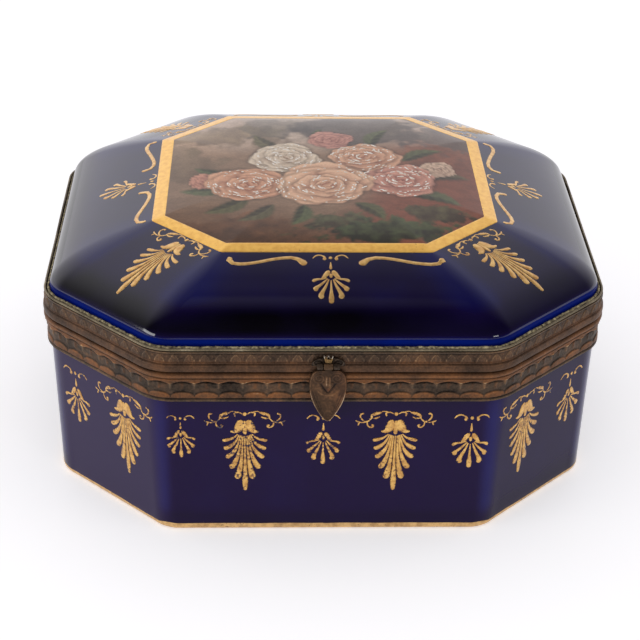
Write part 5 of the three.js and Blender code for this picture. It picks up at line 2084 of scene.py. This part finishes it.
    def build_crown(self) -> Piece:
        """Three-pointed crown: its upper edge swings between points and valleys. Its points are painted near white,
        partly as rubbed brass and partly as a painted highlight.

        Returns:
            The piece.
        """
        columns, rows = 61, 16
        u = np.linspace(-1, 1, columns)[None]
        top = 2.7 + 1.35 * np.abs(np.cos(u * np.pi)) ** 1.6
        half = 1.25 + 0.5 * np.linspace(0, 1, rows)[:, None]
        share = np.linspace(0, 1, rows)[:, None]
        z = 1.5 + share * (top - 1.5)
        x = u * half
        lift = 0.9 + 0.45 * np.sqrt(np.clip(1 - u**2, 0, 1)) * (0.6 + 0.4 * np.cos(share * 5))
        face, back = (joined(x, self.plate_y - depth, self.axis_z + z) for depth in (lift, 0.3))
        # Painted highlight, partly rubbed brass: the points rise to the near-white top tone.
        relief = 0.66 + 0.34 * smooth_step(z, 2.9, 3.6)
        shown = {"relief": np.clip(np.concatenate([relief + 0 * x, relief + 0 * x], axis=1), 0, 1)}
        return make_piece("hasp_crown", *sheets(face, back), [BRIGHT_BRASS], Body.LID, Slot.MOUNT, values=shown)

    def build_stud(self) -> Piece:
        """Round-headed stud under the leaf.

        Returns:
            The piece.
        """
        steps = 28
        turn = np.arange(steps) / steps * TAU
        rise = np.array([-0.9, 0.1, 0.38, 0.55, 0.63])
        r = np.array([1.4, 1.4, 1.2, 0.85, 0.4])
        radii = r[:, None]
        rings = joined(radii * np.cos(turn), self.plate_y - rise[:, None], self.stud_z + radii * np.sin(turn))
        ends = (np.array([0, self.plate_y + reach, self.stud_z]) for reach in (0.9, -0.65))
        return make_piece(
            "stud", *closed_rings(rings, *ends), [BRIGHT_BRASS], Body.BASE, Slot.BRIGHT, ["catch_stud"],
            values={"relief": 0.6},
        )


# Studio.


@dataclass(frozen=True)
class Studio:
    """Plain pale floor, a soft sky of light, and a camera at the photograph's angle."""

    azimuth: float = -2.3
    pitch: float = 30.89
    roll: float = 1.24
    distance: float = 716.6
    target: tuple[float, float, float] = (3.21, 0.0, 38.83)
    lens: float = 93.94
    shift: tuple[float, float] = (-0.0117, 0.0035)
    floor_lift: float = 0.37
    plain: float = 0.76
    walls: float = 1.15
    fades: tuple[tuple[tuple[float, float, float], float, float, float], ...] = (
        ((0.2, 0.0, 1.0), 0.6, 1.1, 0.04), ((0.05, -1.0, 0.0), -0.5, 0.26, 0.03), ((0.0, 0.0, 1.0), 0.965, 0.993, 1.6),
        ((0.0, -0.123, 1.0), 0.9848, 0.9986, 3.4), ((1.0, -0.1, 0.3), 0.6, 1.0, 0.55),
        ((-0.6, 0.8, 0.2), 0.7, 1.0, 1.15),
    )

    def camera(self) -> Piece:
        """Puts the camera on its line from the target, turned by its roll.

        Returns:
            The camera.
        """
        a, p, r = np.radians([self.azimuth, self.pitch, self.roll])
        back = np.array([np.sin(a) * np.cos(p), -np.cos(a) * np.cos(p), np.sin(p)])
        right = np.array([np.cos(a), np.sin(a), 0])
        up = np.cross(back, right)
        across = right * np.cos(r) + up * np.sin(r)
        upward = up * np.cos(r) - right * np.sin(r)
        place = np.array(self.target) + back * self.distance
        data = bpy.data.cameras.new("camera")
        data.sensor_width = 36.0
        data.lens = self.lens
        data.shift_x, data.shift_y = self.shift
        data.clip_start = 0.01
        camera = bpy.data.objects.new("camera", data)
        bpy.context.scene.collection.objects.link(camera)
        turned = Matrix([Vector(across), Vector(upward), Vector(back)]).transposed().to_4x4()
        camera.matrix_world = Matrix.Translation(Vector(place * MM)) @ turned
        bpy.context.scene.camera = camera
        return camera

    def floor(self) -> Piece:
        """A wide pale floor that takes the casket's shadow.

        Returns:
            The floor.
        """
        mesh = bpy.data.meshes.new("floor")
        mesh.from_pydata([(-4, -4, 0), (4, -4, 0), (4, 4, 0), (-4, 4, 0)], [], [(0, 1, 2, 3)])
        floor = bpy.data.objects.new("floor", mesh)
        bpy.context.scene.collection.objects.link(floor)
        made = bpy.data.materials.new("matt_paper")
        made.use_nodes = True
        tree = made.node_tree
        tree.nodes.clear()
        noise = add_node(tree, "TexNoise", {"Scale": 40.0})
        tone = add_node(tree, "ValToRGB", {"Fac": noise.outputs["Fac"]})
        paper = add_node(tree, "BsdfDiffuse", {"Color": set_ramp(tone, [(0.3, "#f5f5f4"), (0.7, "#f8f8f7")])})
        glow = self.seen_directly(tree)
        lift = add_node(tree, "Math", {0: glow, 1: self.floor_lift}, operation="MULTIPLY")
        white = add_node(tree, "Emission", {"Strength": lift.outputs[0]})
        both = add_node(tree, "AddShader", {0: paper.outputs[0], 1: white.outputs[0]})
        add_node(tree, "OutputMaterial", {"Surface": both.outputs[0]})
        mesh.materials.append(made)
        floor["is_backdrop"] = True
        return floor

    def seen_directly(self, tree: Tree) -> Any:
        """A value of 1 for rays from the camera, and for rays mirrored in glaze or metal or sent on by glass.

        Args:
            tree: tree to add the nodes to.

        Returns:
            The value's socket.
        """
        path = add_node(tree, "LightPath")
        seen: Any = path.outputs["Is Camera Ray"]
        for kind in ("Is Glossy Ray", "Is Transmission Ray"):
            seen = add_node(tree, "Math", {0: seen, 1: path.outputs[kind]}, operation="MAXIMUM").outputs[0]
        return seen

    def sky(self) -> None:
        """A soft room: light walls, a dark ceiling with paler patches overhead, and a dark front behind the camera.

        What glaze and metal mirror from a direction is the walls' level times smooth fades: for the ceiling, the
        front, the patches overhead, a dimmer right side and a brighter left back. Each fade runs between two cosines
        of the angle from its own direction. Matt surfaces are lit by one plain level from all sides.
        """
        world = bpy.data.worlds.new("studio")
        bpy.context.scene.world = world
        world.use_nodes = True
        tree = world.node_tree
        tree.nodes.clear()
        way = add_node(tree, "TexCoord").outputs["Generated"]
        level: Any = self.walls
        for toward, low, high, value in self.fades:
            aim = Vector(toward).normalized()
            dot_product = add_node(tree, "VectorMath", {0: way, 1: aim}, operation="DOT_PRODUCT")
            change = spans(dot_product.outputs["Value"], low, high, 1.0, value)
            fade = add_node(tree, "MapRange", change, interpolation_type="SMOOTHSTEP")
            level = add_node(tree, "Math", {0: level, 1: fade.outputs["Result"]}, operation="MULTIPLY").outputs[0]
        mirrored = self.seen_directly(tree)
        both = add_node(tree, "Mix", {"Factor": mirrored, "A": self.plain, "B": level})
        light = add_node(tree, "Background", {"Color": linear("#fbf9ff"), "Strength": both.outputs["Result"]})
        add_node(tree, "OutputWorld", {"Surface": light.outputs[0]})

    def lamp(self, name: str, place: tuple[float, float, float], size: tuple[float, float], power: float) -> None:
        """A rectangular soft light that looks at the casket.

        Args:
            name: name of the lamp.
            place: where it stands, in metres.
            size: its width and height, in metres.
            power: its strength in watts.
        """
        data = bpy.data.lights.new(name, "AREA")
        data.shape = "RECTANGLE"
        data.size, data.size_y = size
        data.energy = power
        lamp = bpy.data.objects.new(name, data)
        bpy.context.scene.collection.objects.link(lamp)
        lamp.location = place
        lamp.rotation_euler = (Vector((0, 0, 0.06)) - Vector(place)).to_track_quat("-Z", "Y").to_euler()

    def build(self) -> None:
        """Sets the camera, the floor and the lights."""
        bpy.context.scene.view_settings.view_transform = "Standard"
        self.camera()
        self.floor()
        self.sky()
        self.lamp("strip_left", (-1.17, -0.6, 0.263), (0.75, 0.22), 3.4)
        self.lamp("strip_right", (0.814, -1.07, 0.277), (0.3, 0.08), 0.6)


def main() -> None:
    """Builds the casket piece by piece, then the studio."""
    logging.basicConfig(level=logging.INFO, format="%(name)s %(message)s")
    body = PorcelainBody()
    body.build()
    body.gild()
    lid = PorcelainLid()
    lid.build()
    lid.gild_border()
    lid.gild()
    lid.bead_enamel()
    GalleryBand().build()
    LeafBand().build()
    Rims().build()
    Bedding().build()
    Hinge().build()
    hasp = Hasp()
    hasp.build_leaf()
    hasp.build_knuckle()
    hasp.build_tongue()
    hasp.build_plate()
    hasp.build_stud()
    Studio().build()
    boxes = [[[float(v) for v in corner] for corner in box] for box in (CAD_BOX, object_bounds())]
    LOG.info("boxes: %s", boxes)


if __name__ == "__main__":
    main()
